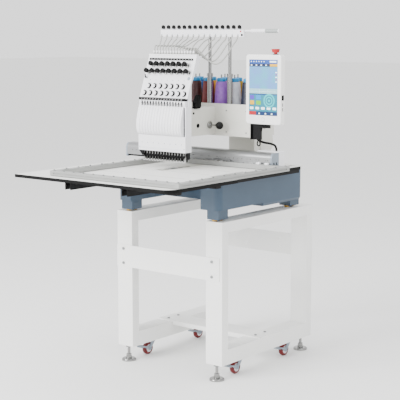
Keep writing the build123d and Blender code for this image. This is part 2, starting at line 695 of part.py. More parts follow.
board_plane = Plane(origin=(stand_x, stand_y + board_y(board_bottom), board_bottom), x_dir=(1, 0, 0),
                    z_dir=(0, -cos(radians(board_lean)), sin(radians(board_lean))))
upper_row = [needle_x + needle_pitch * (2 * n - 9) for n in range(7)]
lower_row = [needle_x + needle_pitch * (2 * n - 10) for n in range(8)]
with BuildPart() as knobs:
    for row, up in ((upper_row, 138.0), (lower_row, 108.0)):
        with BuildSketch(board_plane):
            with Locations(*[(x, up) for x in row]):
                Circle(8)
        extrude(amount=16)
        with BuildSketch(board_plane.offset(16)):
            with Locations(*[(x, up) for x in row]):
                Circle(10)
        extrude(amount=12)
save(knobs, "tension_knobs")

with BuildPart() as springs:
    for row, up in ((upper_row, 62.0), (lower_row, 28.0)):
        with BuildSketch(board_plane):
            with Locations(*[(x, up) for x in row]):
                Circle(11)
                Circle(8.5, mode=Mode.SUBTRACT)
        extrude(amount=4)
save(springs, "check_spring_rings")



# ---- Needle bars, presser feet and take-up levers ------------------------------------
needle_tip = 848.0
bar_radius = 3.0


def needle_bar(x):
    """One needle bar with its clamp and needle, guided by the case's floor."""
    rod((x, needle_y, case_bottom - 14), (0, 0, 1), bar_radius, 110)
    rod((x, needle_y, case_bottom - 22), (0, 0, 1), 4, 9)
    rod((x, needle_y, needle_tip), (0, 0, 1), 0.8, case_bottom - 21 - needle_tip)


def presser_foot(x):
    """One presser foot: a stem behind the needle and a ring below its tip."""
    block((x - 2.5, x + 2.5), (needle_y + 7.5, needle_y + 12.5), (needle_tip + 4, case_bottom + 30))
    block((x - 2.5, x + 2.5), (needle_y + 2.6, needle_y + 12.5), (needle_tip + 1, needle_tip + 4))
    rod((x, needle_y, needle_tip + 1), (0, 0, 1), 5, 3)
    rod((x, needle_y, needle_tip), (0, 0, 1), 2.2, 5, Mode.SUBTRACT)


active = needles - 1 - needles_right
with BuildPart() as needle_bars:
    for number in range(needles):
        if number != active:
            needle_bar(needle_place(number))
save(needle_bars, "needle_bars")

with BuildPart() as presser_feet:
    for number in range(needles):
        if number != active:
            presser_foot(needle_place(number))
save(presser_feet, "presser_feet")

with BuildPart() as active_bar:
    needle_bar(needle_x)
save(active_bar, "active_needle_bar")

with BuildPart() as active_foot:
    presser_foot(needle_x)
save(active_foot, "active_presser_foot")

strip_z = (cover_top, board_bottom)
with BuildPart() as guide_strips:
    block((case_left + 2, case_right - 6), (case_front + 4, case_rear - 16), (strip_z[0] + 4, strip_z[1] - 2))
    for number in range(needles):
        x = needle_place(number)
        block((x - 5, x + 5), (case_front + 3, case_front + 9), (strip_z[1] - 12, strip_z[1] - 6), Mode.SUBTRACT)
    with BuildSketch(board_plane):
        with Locations(((case_left + case_right) / 2 - 4, 163)):
            Rectangle(case_right - case_left - 20, 8)
    extrude(amount=3)
    with BuildSketch(facing_front(needle_y - 5)):
        with BuildLine():
            Polyline((case_left, case_bottom), (case_left + 26, case_bottom), (case_left + 26, case_bottom - 20),
                     (case_left + 20, case_bottom - 20), (case_left, case_bottom))
        make_face()
    extrude(amount=4)
    with BuildSketch(facing_front(needle_y + 16)):
        with Locations((case_right - 5, case_bottom - 14)):
            Rectangle(10, 28)
    extrude(amount=10)
save(guide_strips, "thread_guide_strips")

# ---- Thread stand --------------------------------------------------------------------
cone_front_y = 2.0
cone_rear_y = 70.0
cone_pitch = 68.0
cone_places = [(24 + cone_pitch * n, cone_front_y) for n in range(-3, 3)]
cone_places = [(x, y) for x, y in cone_places if x > box_left + 40]
cone_places += [(24 + cone_pitch * n - 34, cone_rear_y) for n in range(-2, 3)]
cone_base = arm_top + 3
cone_height = 112.0
pin_radius = 3.0
with BuildPart() as posts:
    for x in post_places:
        rod((x, rail_y, arm_top + 3), (0, 0, 1), post_radius, rail_bottom - arm_top - 3)
    for x, y in cone_places:
        rod((x, y, cone_base), (0, 0, 1), pin_radius, cone_height + 14)
save(posts, "thread_stand_posts")

sleeve_top = 1188.0
with BuildPart() as sleeves:
    for x in post_places:
        rod((x, rail_y, arm_top + 3), (0, 0, 1), 11, sleeve_top - arm_top - 3)
        rod((x, rail_y, arm_top + 2), (0, 0, 1), post_radius, sleeve_top - arm_top, Mode.SUBTRACT)
    for x in post_places:
        rod((x, rail_y, sleeve_top), (0, 0, 1), 13, 12)
        rod((x, rail_y, sleeve_top - 1), (0, 0, 1), post_radius, 14, Mode.SUBTRACT)
save(sleeves, "thread_stand_sleeves")

rail_top = rail_bottom + rail_height
lamp_x = (rail_right, 344.0)
with BuildPart() as top_rail:
    block((rail_left, rail_right), (rail_y - 10, rail_y + 10), (rail_bottom, rail_top))
    for number in range(needles):
        rod((guide_first + guide_pitch * number, rail_y - 11, rail_bottom + 8), (0, 1, 0), 1.6, 5, Mode.SUBTRACT)
    rod((lamp_x[0], rail_y, rail_top - 4), (1, 0, 0), 4, 46)
    rod((lamp_x[0] + 34, rail_y, rail_top - 4), (1, 0, 0), 8, lamp_x[1] - lamp_x[0] - 34)
save(top_rail, "thread_stand_rail")

with BuildPart() as guides:
    for number in range(needles):
        x = guide_first + guide_pitch * number
        rod((x, rail_y, rail_top), (0, 0, 1), 6, 5)
        rod((x - 6, rail_y, rail_top + 12), (1, 0, 0), 8, 12)
        rod((x - 7, rail_y, rail_top + 12), (1, 0, 0), 3, 14, Mode.SUBTRACT)
save(guides, "thread_guides")

with BuildPart() as cone_cores:
    for x, y in cone_places:
        rod((x, y, cone_base), (0, 0, 1), 28, 5)
        with Locations((stand_x + x, stand_y + y, cone_base + 5)):
            Cone(15, 11, cone_height - 5, align=(Align.CENTER, Align.CENTER, Align.MIN))
        rod((x, y, cone_base - 1), (0, 0, 1), pin_radius + 0.5, cone_height + 2, Mode.SUBTRACT)
save(cone_cores, "cone_cores")

with BuildPart() as cone_threads:
    for x, y in cone_places:
        with Locations((stand_x + x, stand_y + y, cone_base + 5)):
            Cone(29, 23, cone_height - 20, align=(Align.CENTER, Align.CENTER, Align.MIN))
            Cone(15.02, 11.02 + 4 * 15 / (cone_height - 5), cone_height - 20,
                 align=(Align.CENTER, Align.CENTER, Align.MIN), mode=Mode.SUBTRACT)
save(cone_threads, "cone_threads")

# ---- Thread tubes from the rail to the case ------------------------------------------
tube_radius = 2.2
tube_start_y = rail_y - 10 - tube_radius - seat_gap
tube_end_z = board_top + 20 + seat_gap
with BuildPart() as tubes:
    for number in range(needles):
        start = (stand_x + guide_first + guide_pitch * number, stand_y + tube_start_y, rail_bottom + 4)
        end = (stand_x + needle_place(number), stand_y + top_y, tube_end_z)
        knee = (end[0], end[1], end[2] + 22)
        with BuildLine() as run:
            FilletPolyline(start, (start[0], start[1], start[2] - 12), knee, end, radius=5)
        with BuildSketch(Plane(origin=start, z_dir=(0, 0, -1))):
            Circle(tube_radius)
        sweep(path=run.line)
save(tubes, "thread_tubes")

# ---- Tablet on its bracket -----------------------------------------------------------
pivot = (-68.0, 1048.0)
bracket_foot = 940.0
ear_x = ((258.0, 266.0), (296.0, 304.0))
knuckle_x = (ear_x[0][1] + seat_gap, ear_x[1][0] - seat_gap)
with BuildPart() as bracket:
    block((box_right, box_right + 4), (box_front, box_front + 60), (bracket_foot, 1060))
    block((box_right + 4, 262), (-50, -40), (bracket_foot, 1060))
    block((262, ear_x[1][1]), (-50, -40), (988, 1060))
    for x in ear_x:
        block(x, (pivot[0] - 9, -50), (pivot[1] - 9, pivot[1] + 9))
    rod((ear_x[0][0], pivot[0], pivot[1]), (1, 0, 0), 4, ear_x[1][1] - ear_x[0][0])
save(bracket, "tablet_bracket")

stop_x = 372.0
with BuildPart() as fittings:
    block(knuckle_x, (tablet_front + tablet_thickness, pivot[0] + 7), (pivot[1] - 7, pivot[1] + 7))
    block((knuckle_x[0] - 30, knuckle_x[1] + 30), (tablet_front + tablet_thickness, tablet_front + tablet_thickness + 5),
          (pivot[1] - 30, pivot[1] + 30))
    rod((knuckle_x[0] - 1, pivot[0], pivot[1]), (1, 0, 0), 4 + running, knuckle_x[1] - knuckle_x[0] + 2,
        Mode.SUBTRACT)
    rod((stop_x, tablet_front + tablet_thickness / 2, tablet_top), (0, 0, 1), 11, 3)
    rod((stop_x, tablet_front + tablet_thickness / 2, tablet_top - 1), (0, 0, 1), 7.3, 5, Mode.SUBTRACT)
save(fittings, "tablet_fittings")

tablet_x = (tablet_left, tablet_right)
screen_middle = ((tablet_left + tablet_right) / 2, 1153.0)
screen_size = (136.0, 217.0)
button_z = 1028.0
button_radius = 8.5
with BuildPart() as tablet:
    block(tablet_x, (tablet_front, tablet_front + tablet_thickness), (tablet_bottom, tablet_top))
    fillet(tablet.edges().filter_by(Axis.Y), 12)
    fillet(tablet.faces().sort_by(Axis.Y)[0].edges(), 4)
    block((screen_middle[0] - screen_size[0] / 2, screen_middle[0] + screen_size[0] / 2),
          (tablet_front - 1, tablet_front + 3), (screen_middle[1] - screen_size[1] / 2,
                                                 screen_middle[1] + screen_size[1] / 2), Mode.SUBTRACT)
    rod((screen_middle[0], tablet_front - 1, button_z), (0, 1, 0), button_radius + 0.3, 7, Mode.SUBTRACT)
    rod((stop_x, tablet_front + tablet_thickness / 2, tablet_top - 12), (0, 0, 1), 7.3, 14, Mode.SUBTRACT)
save(tablet, "tablet_housing")

with BuildPart() as screen:
    block((screen_middle[0] - screen_size[0] / 2, screen_middle[0] + screen_size[0] / 2),
          (tablet_front + 0.5, tablet_front + 3), (screen_middle[1] - screen_size[1] / 2,
                                                   screen_middle[1] + screen_size[1] / 2))
save(screen, "tablet_screen")

with BuildPart() as home_button:
    rod((screen_middle[0], tablet_front - 0.8, button_z), (0, 1, 0), button_radius, 4)
save(home_button, "home_button")

stop_travel = 4.0
with BuildPart() as stop:
    rod((stop_x, tablet_front + tablet_thickness / 2, tablet_top - 7), (0, 0, 1), 7, 17)
    with Locations((stand_x + stop_x, stand_y + tablet_front + tablet_thickness / 2,
                    tablet_top + 3 + stop_travel + 1)):
        Cone(13, 17, 14, align=(Align.CENTER, Align.CENTER, Align.MIN))
save(stop, "emergency_stop")
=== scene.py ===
"""The looks of a fifteen-needle embroidery machine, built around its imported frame."""

import logging
import math
from dataclasses import dataclass, field
from enum import Enum
from typing import Iterable, Sequence

import bmesh
import bpy
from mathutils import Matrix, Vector


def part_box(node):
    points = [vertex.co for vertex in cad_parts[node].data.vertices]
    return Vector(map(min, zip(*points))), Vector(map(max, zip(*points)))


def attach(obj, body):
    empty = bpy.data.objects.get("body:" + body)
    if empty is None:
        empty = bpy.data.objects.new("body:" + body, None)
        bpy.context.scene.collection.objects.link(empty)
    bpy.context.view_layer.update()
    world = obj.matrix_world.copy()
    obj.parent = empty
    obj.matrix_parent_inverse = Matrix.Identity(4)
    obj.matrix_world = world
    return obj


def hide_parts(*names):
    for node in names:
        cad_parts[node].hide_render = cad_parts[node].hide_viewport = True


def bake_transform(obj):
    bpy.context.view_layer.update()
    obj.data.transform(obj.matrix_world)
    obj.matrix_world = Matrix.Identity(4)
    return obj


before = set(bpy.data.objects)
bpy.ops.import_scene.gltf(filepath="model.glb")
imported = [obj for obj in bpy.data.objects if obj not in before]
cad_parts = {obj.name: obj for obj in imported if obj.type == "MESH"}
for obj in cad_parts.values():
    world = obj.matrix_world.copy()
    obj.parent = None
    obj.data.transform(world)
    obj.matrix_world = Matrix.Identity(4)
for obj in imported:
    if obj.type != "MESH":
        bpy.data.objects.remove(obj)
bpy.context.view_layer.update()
MM = 0.001
NEEDLES = 15
NEEDLE_PITCH = 14.8 * MM
# How far the needle bars' box reaches past the first bar's middle
BAR_MARGIN = 4 * MM
CORNERS = ("front_left", "front_right", "rear_left", "rear_right")
log = logging.getLogger("embroidery_machine")


class Pattern(Enum):
    """What a finish's fine relief is like."""

    PLAIN = "plain"
    GRAIN = "grain"
    BRUSHED = "brushed"
    WOUND = "wound"


def srgb(code: str) -> tuple[float, float, float, float]:
    """Turn an sRGB hex code to linear values.

    Args:
        code: Six hex digits, with or without a leading hash.

    Returns:
        Red, green, blue and alpha, each from 0 to 1.
    """
    digits = code.lstrip("#")
    values = [int(digits[place:place + 2], 16) / 255 for place in (0, 2, 4)]
    linear = [v / 12.92 if v <= 0.04045 else ((v + 0.055) / 1.055) ** 2.4 for v in values]
    return (*linear, 1.0)


def add_node(tree: bpy.types.NodeTree, kind: str, settings: dict | None = None,
             links: dict | None = None) -> bpy.types.Node:
    """Add one node with its settings and links.

    Args:
        tree: The tree that takes the node.
        kind: The node's type name.
        settings: Properties of the node, or values of its inputs by name or place.
        links: Input names or places, each with the socket that feeds it.

    Returns:
        The new node.
    """
    node = tree.nodes.new(kind)
    for name, value in (settings or {}).items():
        if isinstance(name, str) and hasattr(node, name):
            setattr(node, name, value)
        else:
            node.inputs[name].default_value = value
    for name, socket in (links or {}).items():
        tree.links.new(socket, node.inputs[name])
    return node


@dataclass(frozen=True)
class Finish:
    """A real material and how its surface was made.

    The colour wanders between two close tones, the roughness with it, and a fine relief
    follows from the way the surface was made.
    """

    name: str
    colour: str
    deeper: str
    roughness: float = 0.45
    metallic: float = 0.0
    ior: float = 1.5
    coat: float = 0.0
    pattern: Pattern = Pattern.GRAIN
    grain_mm: float = 1.2
    relief_mm: float = 0.02
    cloud_mm: float = 90.0
    stretch: tuple[float, float, float] = (1.0, 1.0, 1.0)
    glow: float = 0.0
    transmission: float = 0.0

    def material(self) -> bpy.types.Material:
        """Build the finish once, and return it from then on."""
        known = bpy.data.materials.get(self.name)
        if known:
            return known
        made = bpy.data.materials.new(self.name)
        made.use_nodes = True
        tree = made.node_tree
        shader = tree.nodes["Principled BSDF"]
        for socket, value in (("Metallic", self.metallic), ("Coat Weight", self.coat),
                              ("Transmission Weight", self.transmission)):
            shader.inputs[socket].default_value = value
        if not self.metallic:
            shader.inputs["IOR"].default_value = self.ior
        place = add_node(tree, "ShaderNodeTexCoord")
        cloud = add_node(tree, "ShaderNodeTexNoise", {"Scale": 1 / (self.cloud_mm * MM), "Detail": 3.0},
                         {"Vector": place.outputs["Object"]})
        tone = add_node(tree, "ShaderNodeMix",
                        {"data_type": "RGBA", 6: srgb(self.colour), 7: srgb(self.deeper)},
                        {0: cloud.outputs["Fac"]})
        tree.links.new(tone.outputs[2], shader.inputs["Base Color"])
        gloss = add_node(tree, "ShaderNodeMapRange",
                         {3: max(self.roughness - 0.06, 0.03), 4: min(self.roughness + 0.08, 1.0)},
                         {0: cloud.outputs["Fac"]})
        tree.links.new(gloss.outputs[0], shader.inputs["Roughness"])
        if self.glow:
            tree.links.new(tone.outputs[2], shader.inputs["Emission Color"])
            shader.inputs["Emission Strength"].default_value = self.glow
        if self.pattern is not Pattern.PLAIN:
            self.add_relief(tree, place, shader)
        return made

    def add_relief(self, tree: bpy.types.NodeTree, place: bpy.types.Node, shader: bpy.types.Node) -> None:
        """Add the fine relief to the shader's normal.

        Args:
            tree: The material's tree.
            place: The node that gives Object coordinates.
            shader: The shader that takes the relief.
        """
        turned = add_node(tree, "ShaderNodeMapping", {"Scale": self.stretch},
                          {"Vector": place.outputs["Object"]})
        if self.pattern is Pattern.WOUND:
            fine = add_node(tree, "ShaderNodeTexWave",
                            {"wave_type": "BANDS", "bands_direction": "Z",
                             "Scale": 0.32 / (self.grain_mm * MM),
                             "Distortion": 0.6, "Detail": 1.0},
                            {"Vector": turned.outputs["Vector"]})
        else:
            fine = add_node(tree, "ShaderNodeTexNoise", {"Scale": 1 / (self.grain_mm * MM), "Detail": 2.0},
                            {"Vector": turned.outputs["Vector"]})
        raised = add_node(tree, "ShaderNodeBump", {"Strength": 0.35, "Distance": self.relief_mm * MM},
                          {"Height": fine.outputs["Fac"]})
        tree.links.new(raised.outputs["Normal"], shader.inputs["Normal"])


# Powder coat on welded tube: an even, slightly pebbled satin white
POWDER_WHITE = Finish("powder_coat_white", "#eeeeec", "#e6e6e4", 0.42, grain_mm=1.6, relief_mm=0.03)
# Sprayed enamel on a casting: satin blue-grey with a soft ripple
ENAMEL_BLUE = Finish("enamel_blue_grey", "#2f4559", "#293e51", 0.36, coat=0.08, grain_mm=3.0, relief_mm=0.03)
# Sprayed enamel on castings and folded sheet: warm light grey
ENAMEL_GREY = Finish("enamel_warm_grey", "#cfcec6", "#c7c6be", 0.4, coat=0.15, grain_mm=2.2, relief_mm=0.025)
# High-pressure laminate: flat, fine-pebbled grey with a dry sheen
LAMINATE = Finish("table_laminate", "#74736d", "#696862", 0.34, ior=1.35, grain_mm=0.8, relief_mm=0.015,
                  cloud_mm=160)
# Extruded edge band and other matt black mouldings
BLACK_MOULDED = Finish("abs_black_moulded", "#030303", "#060606", 0.5, ior=1.22, grain_mm=0.6, relief_mm=0.02)
BLACK_GLOSS = Finish("abs_black_gloss", "#030303", "#050505", 0.32, ior=1.3, grain_mm=2.0, relief_mm=0.01)
# Blackened steel strip and folded brackets
BLACK_STEEL = Finish("steel_blackened", "#050506", "#0a0a0b", 0.45, ior=1.25, grain_mm=1.0, relief_mm=0.02)
# Turned and ground steel, lightly polished
POLISHED_STEEL = Finish("steel_polished", "#9a9a99", "#8b8b8a", 0.2, 1.0, pattern=Pattern.BRUSHED,
                        grain_mm=0.5, relief_mm=0.006, stretch=(1.0, 1.0, 0.05))
# Zinc-plated fasteners: a faint cool tone, satin
ZINC = Finish("steel_zinc_plated", "#8f9191", "#7f8182", 0.32, 1.0, grain_mm=0.8, relief_mm=0.01)
BRASS = Finish("zinc_yellow_passivated", "#c8a256", "#a87f35", 0.3, 1.0, grain_mm=1.0, relief_mm=0.015)
# Clear-anodised extrusion, its die lines along X
ANODISED = Finish("aluminium_anodised", "#9b9c9d", "#919293", 0.33, 0.75, pattern=Pattern.BRUSHED,
                  grain_mm=0.6, relief_mm=0.01, stretch=(0.03, 1.0, 1.0))
FRAME_ALUMINIUM = Finish("aluminium_anodised_pale", "#a5a6a4", "#969795", 0.36, 0.45, pattern=Pattern.BRUSHED,
                         grain_mm=0.6, relief_mm=0.008, stretch=(0.2, 0.2, 1.0))
GREY_STEEL = Finish("steel_painted_grey", "#8c97a3", "#7f8a96", 0.4, 0.2, grain_mm=1.5, relief_mm=0.02)
# Injection-moulded covers: bright cool white with a soft gloss
COVER_WHITE = Finish("abs_cover_white", "#ececef", "#e6e6ea", 0.3, coat=0.2, grain_mm=0.9, relief_mm=0.01)
# The cover's white plastic painted a shade darker: painted shade on the guide cups, the case's foot lines and
# the home key's ring
COVER_SHADE = Finish("abs_cover_white_painted_shade", "#c9ccd3", "#c2c5cc", 0.34, coat=0.1, grain_mm=0.9,
                     relief_mm=0.01)
TABLET_WHITE = Finish("abs_tablet_white", "#f1f1f0", "#ebebea", 0.26, coat=0.3, grain_mm=0.7, relief_mm=0.008)
GREY_LENS = Finish("polycarbonate_grey", "#9aa09f", "#8f9594", 0.3, coat=0.1, grain_mm=1.0, relief_mm=0.01)
SEAM_GREY = Finish("seam_sealant_grey", "#5f5f5c", "#565653", 0.5, grain_mm=0.8, relief_mm=0.01)
# Near-black with almost no reflection: painted shadow in the gap beside the needle plate
GAP_SHADOW_BLACK = Finish("painted_shadow_matt_black", "#020202", "#040404", 0.95, ior=1.05, grain_mm=0.8, relief_mm=0.01)
BRIGHT_STEEL = Finish("steel_bright_plated", "#dededc", "#cfcfcd", 0.3, 0.5, grain_mm=0.8, relief_mm=0.01)
CORE_CYAN = Finish("polypropylene_cyan", "#0f7fb4", "#0b74a8", 0.35, grain_mm=1.0, relief_mm=0.01)
TUBE_CLEAR = Finish("nylon_tube_translucent", "#aeaeaa", "#a0a09c", 0.3, ior=1.53, transmission=0.1,
                    grain_mm=1.0, relief_mm=0.01)
URETHANE_RED = Finish("polyurethane_red", "#6a0308", "#5a0206", 0.45, grain_mm=1.4, relief_mm=0.03)
STOP_RED = Finish("abs_signal_red", "#b00209", "#9c0107", 0.4, coat=0.05, grain_mm=1.0, relief_mm=0.01)
RUBBER = Finish("cable_pvc_black", "#050505", "#080808", 0.5, ior=1.25, grain_mm=0.5, relief_mm=0.02)


def display(name: str, colour: str, deeper: str, glow: float = 0.16) -> Finish:
    """A lit part of the display: flat, bright and under glass."""
    return Finish("display_" + name, colour, deeper, 0.2, pattern=Pattern.PLAIN, glow=glow, cloud_mm=40)


def link(obj: bpy.types.Object) -> bpy.types.Object:
    """Put an object in the scene's collection and return it."""
    bpy.context.scene.collection.objects.link(obj)
    return obj


def piece(name: str, shape: bmesh.types.BMesh, finish: Finish, smooth_deg: float = 35.0) -> bpy.types.Object:
    """Turn a finished shape into an object.

    Args:
        name: The piece's name.
        shape: The shape, which is used up.
        finish: Its finish.
        smooth_deg: Edges sharper than this stay sharp.

    Returns:
        The new object, at the origin.
    """
    bmesh.ops.remove_doubles(shape, verts=shape.verts, dist=1e-6)
    bmesh.ops.recalc_face_normals(shape, faces=shape.faces)
    mesh = bpy.data.meshes.new(name)
    for face in shape.faces:
        face.smooth = True
    for edge in shape.edges:
        if len(edge.link_faces) == 2 and edge.calc_face_angle(0.0) > math.radians(smooth_deg):
            edge.smooth = False
    shape.to_mesh(mesh)
    shape.free()
    mesh.materials.append(finish.material())
    return link(bpy.data.objects.new(name, mesh))


def add_block(shape: bmesh.types.BMesh, low: Sequence[float], high: Sequence[float],
              bevel: float = 0.0) -> None:
    """Add a box with rounded edges to a shape.

    Args:
        shape: The shape that takes it.
        low: Its lowest corner.
        high: Its highest corner.
        bevel: The radius of its edges.
    """
    made = bmesh.ops.create_cube(shape, size=1.0)["verts"]
    middle = (Vector(low) + Vector(high)) / 2
    size = Vector(high) - Vector(low)
    for vert in made:
        vert.co = Vector((vert.co.x * size.x, vert.co.y * size.y, vert.co.z * size.z)) + middle
    if bevel:
        edges = list({edge for vert in made for edge in vert.link_edges})
        bmesh.ops.bevel(shape, geom=edges, offset=bevel, segments=2, affect="EDGES", profile=0.5)


def add_lathe(shape: bmesh.types.BMesh, outline: Iterable[tuple[float, float]], start: Sequence[float],
              along: Sequence[float], sides: int = 24) -> None:
    """Add a turned form to a shape.

    Args:
        shape: The shape that takes it.
        outline: Radius and distance along the axis, from one end to the other.
        start: The axis's start.
        along: The axis's direction.
        sides: How many sides the form has.
    """
    turn = Vector((0, 0, 1)).rotation_difference(Vector(along)).to_matrix()
    rings = []
    for radius, height in outline:
        if radius < 1e-7:
            rings.append([shape.verts.new(turn @ Vector((0, 0, height)) + Vector(start))])
            continue
        rings.append([
            shape.verts.new(turn @ Vector((radius * math.cos(math.tau * n / sides),
                                           radius * math.sin(math.tau * n / sides), height)) + Vector(start))
            for n in range(sides)
        ])
    for below, above in zip(rings, rings[1:]):
        for n in range(sides):
            corners = [below[n % len(below)], below[(n + 1) % len(below)],
                       above[(n + 1) % len(above)], above[n % len(above)]]
            unique = list(dict.fromkeys(corners))
            if len(unique) > 2:
                shape.faces.new(unique)


def in_mm(*points: tuple[float, float]) -> list[tuple[float, float]]:
    """Turn an outline's points from millimetres to metres.

    Args:
        points: The points in millimetres, in order.

    Returns:
        The same points in metres.
    """
    return [(first * MM, second * MM) for first, second in points]


def add_prism(shape: bmesh.types.BMesh, outline: Sequence[Sequence[float]], push: Sequence[float]) -> None:
    """Add a flat outline pushed to a solid.

    Args:
        shape: The shape that takes it.
        outline: The outline's corners in space, in order.
        push: How far and which way it is pushed.
    """
    near = [shape.verts.new(Vector(point)) for point in outline]
    far = [shape.verts.new(Vector(point) + Vector(push)) for point in outline]
    shape.faces.new(near)
    shape.faces.new(list(reversed(far)))
    count = len(near)
    for n in range(count):
        shape.faces.new([near[n], near[(n + 1) % count], far[(n + 1) % count], far[n]])


def round_rect(width: float, height: float, radius: float, steps: int = 6) -> list[tuple[float, float]]:
    """The outline of a rectangle with round corners, about its middle."""
    points = []
    for quarter, (sx, sy) in enumerate(((1, 1), (-1, 1), (-1, -1), (1, -1))):
        middle = (sx * (width / 2 - radius), sy * (height / 2 - radius))
        for step in range(steps + 1):
            angle = math.pi / 2 * (quarter + step / steps)
            points.append((middle[0] + radius * math.cos(angle), middle[1] + radius * math.sin(angle)))
    return points


def tube(name: str, points: Sequence[Sequence[float]], radius: float, finish: Finish,
         sides: int = 4) -> bpy.types.Object:
    """A round tube along a smooth curve that starts and ends at the first and last point.

    Args:
        name: The piece's name.
        points: The curve's control points.
        radius: The tube's radius.
        finish: Its finish.
        sides: The bevel's resolution.

    Returns:
        The tube as a mesh.
    """
    data = bpy.data.curves.new(name, "CURVE")
    data.dimensions = "3D"
    data.resolution_u = 8
    data.bevel_depth = radius
    data.bevel_resolution = sides
    data.use_fill_caps = True
    spline = data.splines.new("NURBS")
    spline.points.add(len(points) - 1)
    for control, point in zip(spline.points, points):
        control.co = (*point, 1.0)
    spline.order_u = 3
    spline.use_endpoint_u = True
    curve = link(bpy.data.objects.new(name + "_curve", data))
    mesh = bpy.data.meshes.new_from_object(curve.evaluated_get(bpy.context.evaluated_depsgraph_get()))
    bpy.data.objects.remove(curve)
    mesh.materials.clear()
    mesh.materials.append(finish.material())
    mesh.shade_smooth()
    mesh.name = name
    return link(bpy.data.objects.new(name, mesh))


class RowTree:
    """A Geometry Nodes tree that sets copies of one template out in a straight row."""

    SIZES = (("Count", "NodeSocketInt"), ("Start", "NodeSocketVector"), ("Step", "NodeSocketVector"),
             ("Template", "NodeSocketObject"), ("Finish", "NodeSocketMaterial"))

    def __init__(self) -> None:
        """Build the tree with its named inputs."""
        self.tree = bpy.data.node_groups.new("row_of_copies", "GeometryNodeTree")
        face = self.tree.interface
        face.new_socket("Geometry", in_out="OUTPUT", socket_type="NodeSocketGeometry")
        self.keys = {}
        for name, kind in self.SIZES:
            self.keys[name] = face.new_socket(name, in_out="INPUT", socket_type=kind).identifier
        given = add_node(self.tree, "NodeGroupInput")
        line = add_node(self.tree, "GeometryNodeMeshLine", {"mode": "OFFSET"},
                        {"Count": given.outputs["Count"], "Start Location": given.outputs["Start"],
                         "Offset": given.outputs["Step"]})
        template = add_node(self.tree, "GeometryNodeObjectInfo", None, {"Object": given.outputs["Template"]})
        copies = add_node(self.tree, "GeometryNodeInstanceOnPoints", None,
                          {"Points": line.outputs["Mesh"], "Instance": template.outputs["Geometry"]})
        solid = add_node(self.tree, "GeometryNodeRealizeInstances", None,
                         {"Geometry": copies.outputs["Instances"]})
        dressed = add_node(self.tree, "GeometryNodeSetMaterial", None,
                           {"Geometry": solid.outputs["Geometry"], "Material": given.outputs["Finish"]})
        result = add_node(self.tree, "NodeGroupOutput")
        self.tree.links.new(dressed.outputs["Geometry"], result.inputs["Geometry"])

    def build(self, name: str, template: bpy.types.Object,
              rows: Sequence[tuple[int, Sequence[float], Sequence[float]]]) -> bpy.types.Object:
        """Set a template out in one or more rows and join them to one mesh.

        Args:
            name: The piece's name.
            template: The object that is repeated, which is used up.
            rows: For each row its count, its start and its step.

        Returns:
            One plain mesh.
        """
        material = template.data.materials[0]
        shape = bmesh.new()
        for count, start, step in rows:
            holder = link(bpy.data.objects.new(name + "_row", bpy.data.meshes.new(name + "_row")))
            modifier = holder.modifiers.new("row", "NODES")
            modifier.node_group = self.tree
            for key, value in (("Count", count), ("Start", tuple(start)), ("Step", tuple(step)),
                               ("Template", template), ("Finish", material)):
                modifier[self.keys[key]] = value
            ready = holder.evaluated_get(bpy.context.evaluated_depsgraph_get())
            mesh = bpy.data.meshes.new_from_object(ready)
            shape.from_mesh(mesh)
            bpy.data.meshes.remove(mesh)
            bpy.data.objects.remove(holder)
        bpy.data.objects.remove(template)
        mesh = bpy.data.meshes.new(name)
        shape.to_mesh(mesh)
        shape.free()
        mesh.materials.append(material)
        return link(bpy.data.objects.new(name, mesh))


def corners_of(node: str) -> tuple[Vector, Vector]:
    """The lowest and highest corner of a CAD node."""
    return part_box(node)


def keep(obj: bpy.types.Object, body: str, *nodes: str, slot: str | None = None) -> bpy.types.Object:
    """Let a finished piece ride on a body and stand for CAD nodes.

    Args:
        obj: The piece.
        body: The body it moves with.
        nodes: The CAD nodes it stands for.
        slot: The record's material slot; not used.

    Returns:
        The same piece.
    """
    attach(obj, body)
    if nodes:
        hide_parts(*nodes)
    log.info("%s rides on %s", obj.name, body)
    return obj


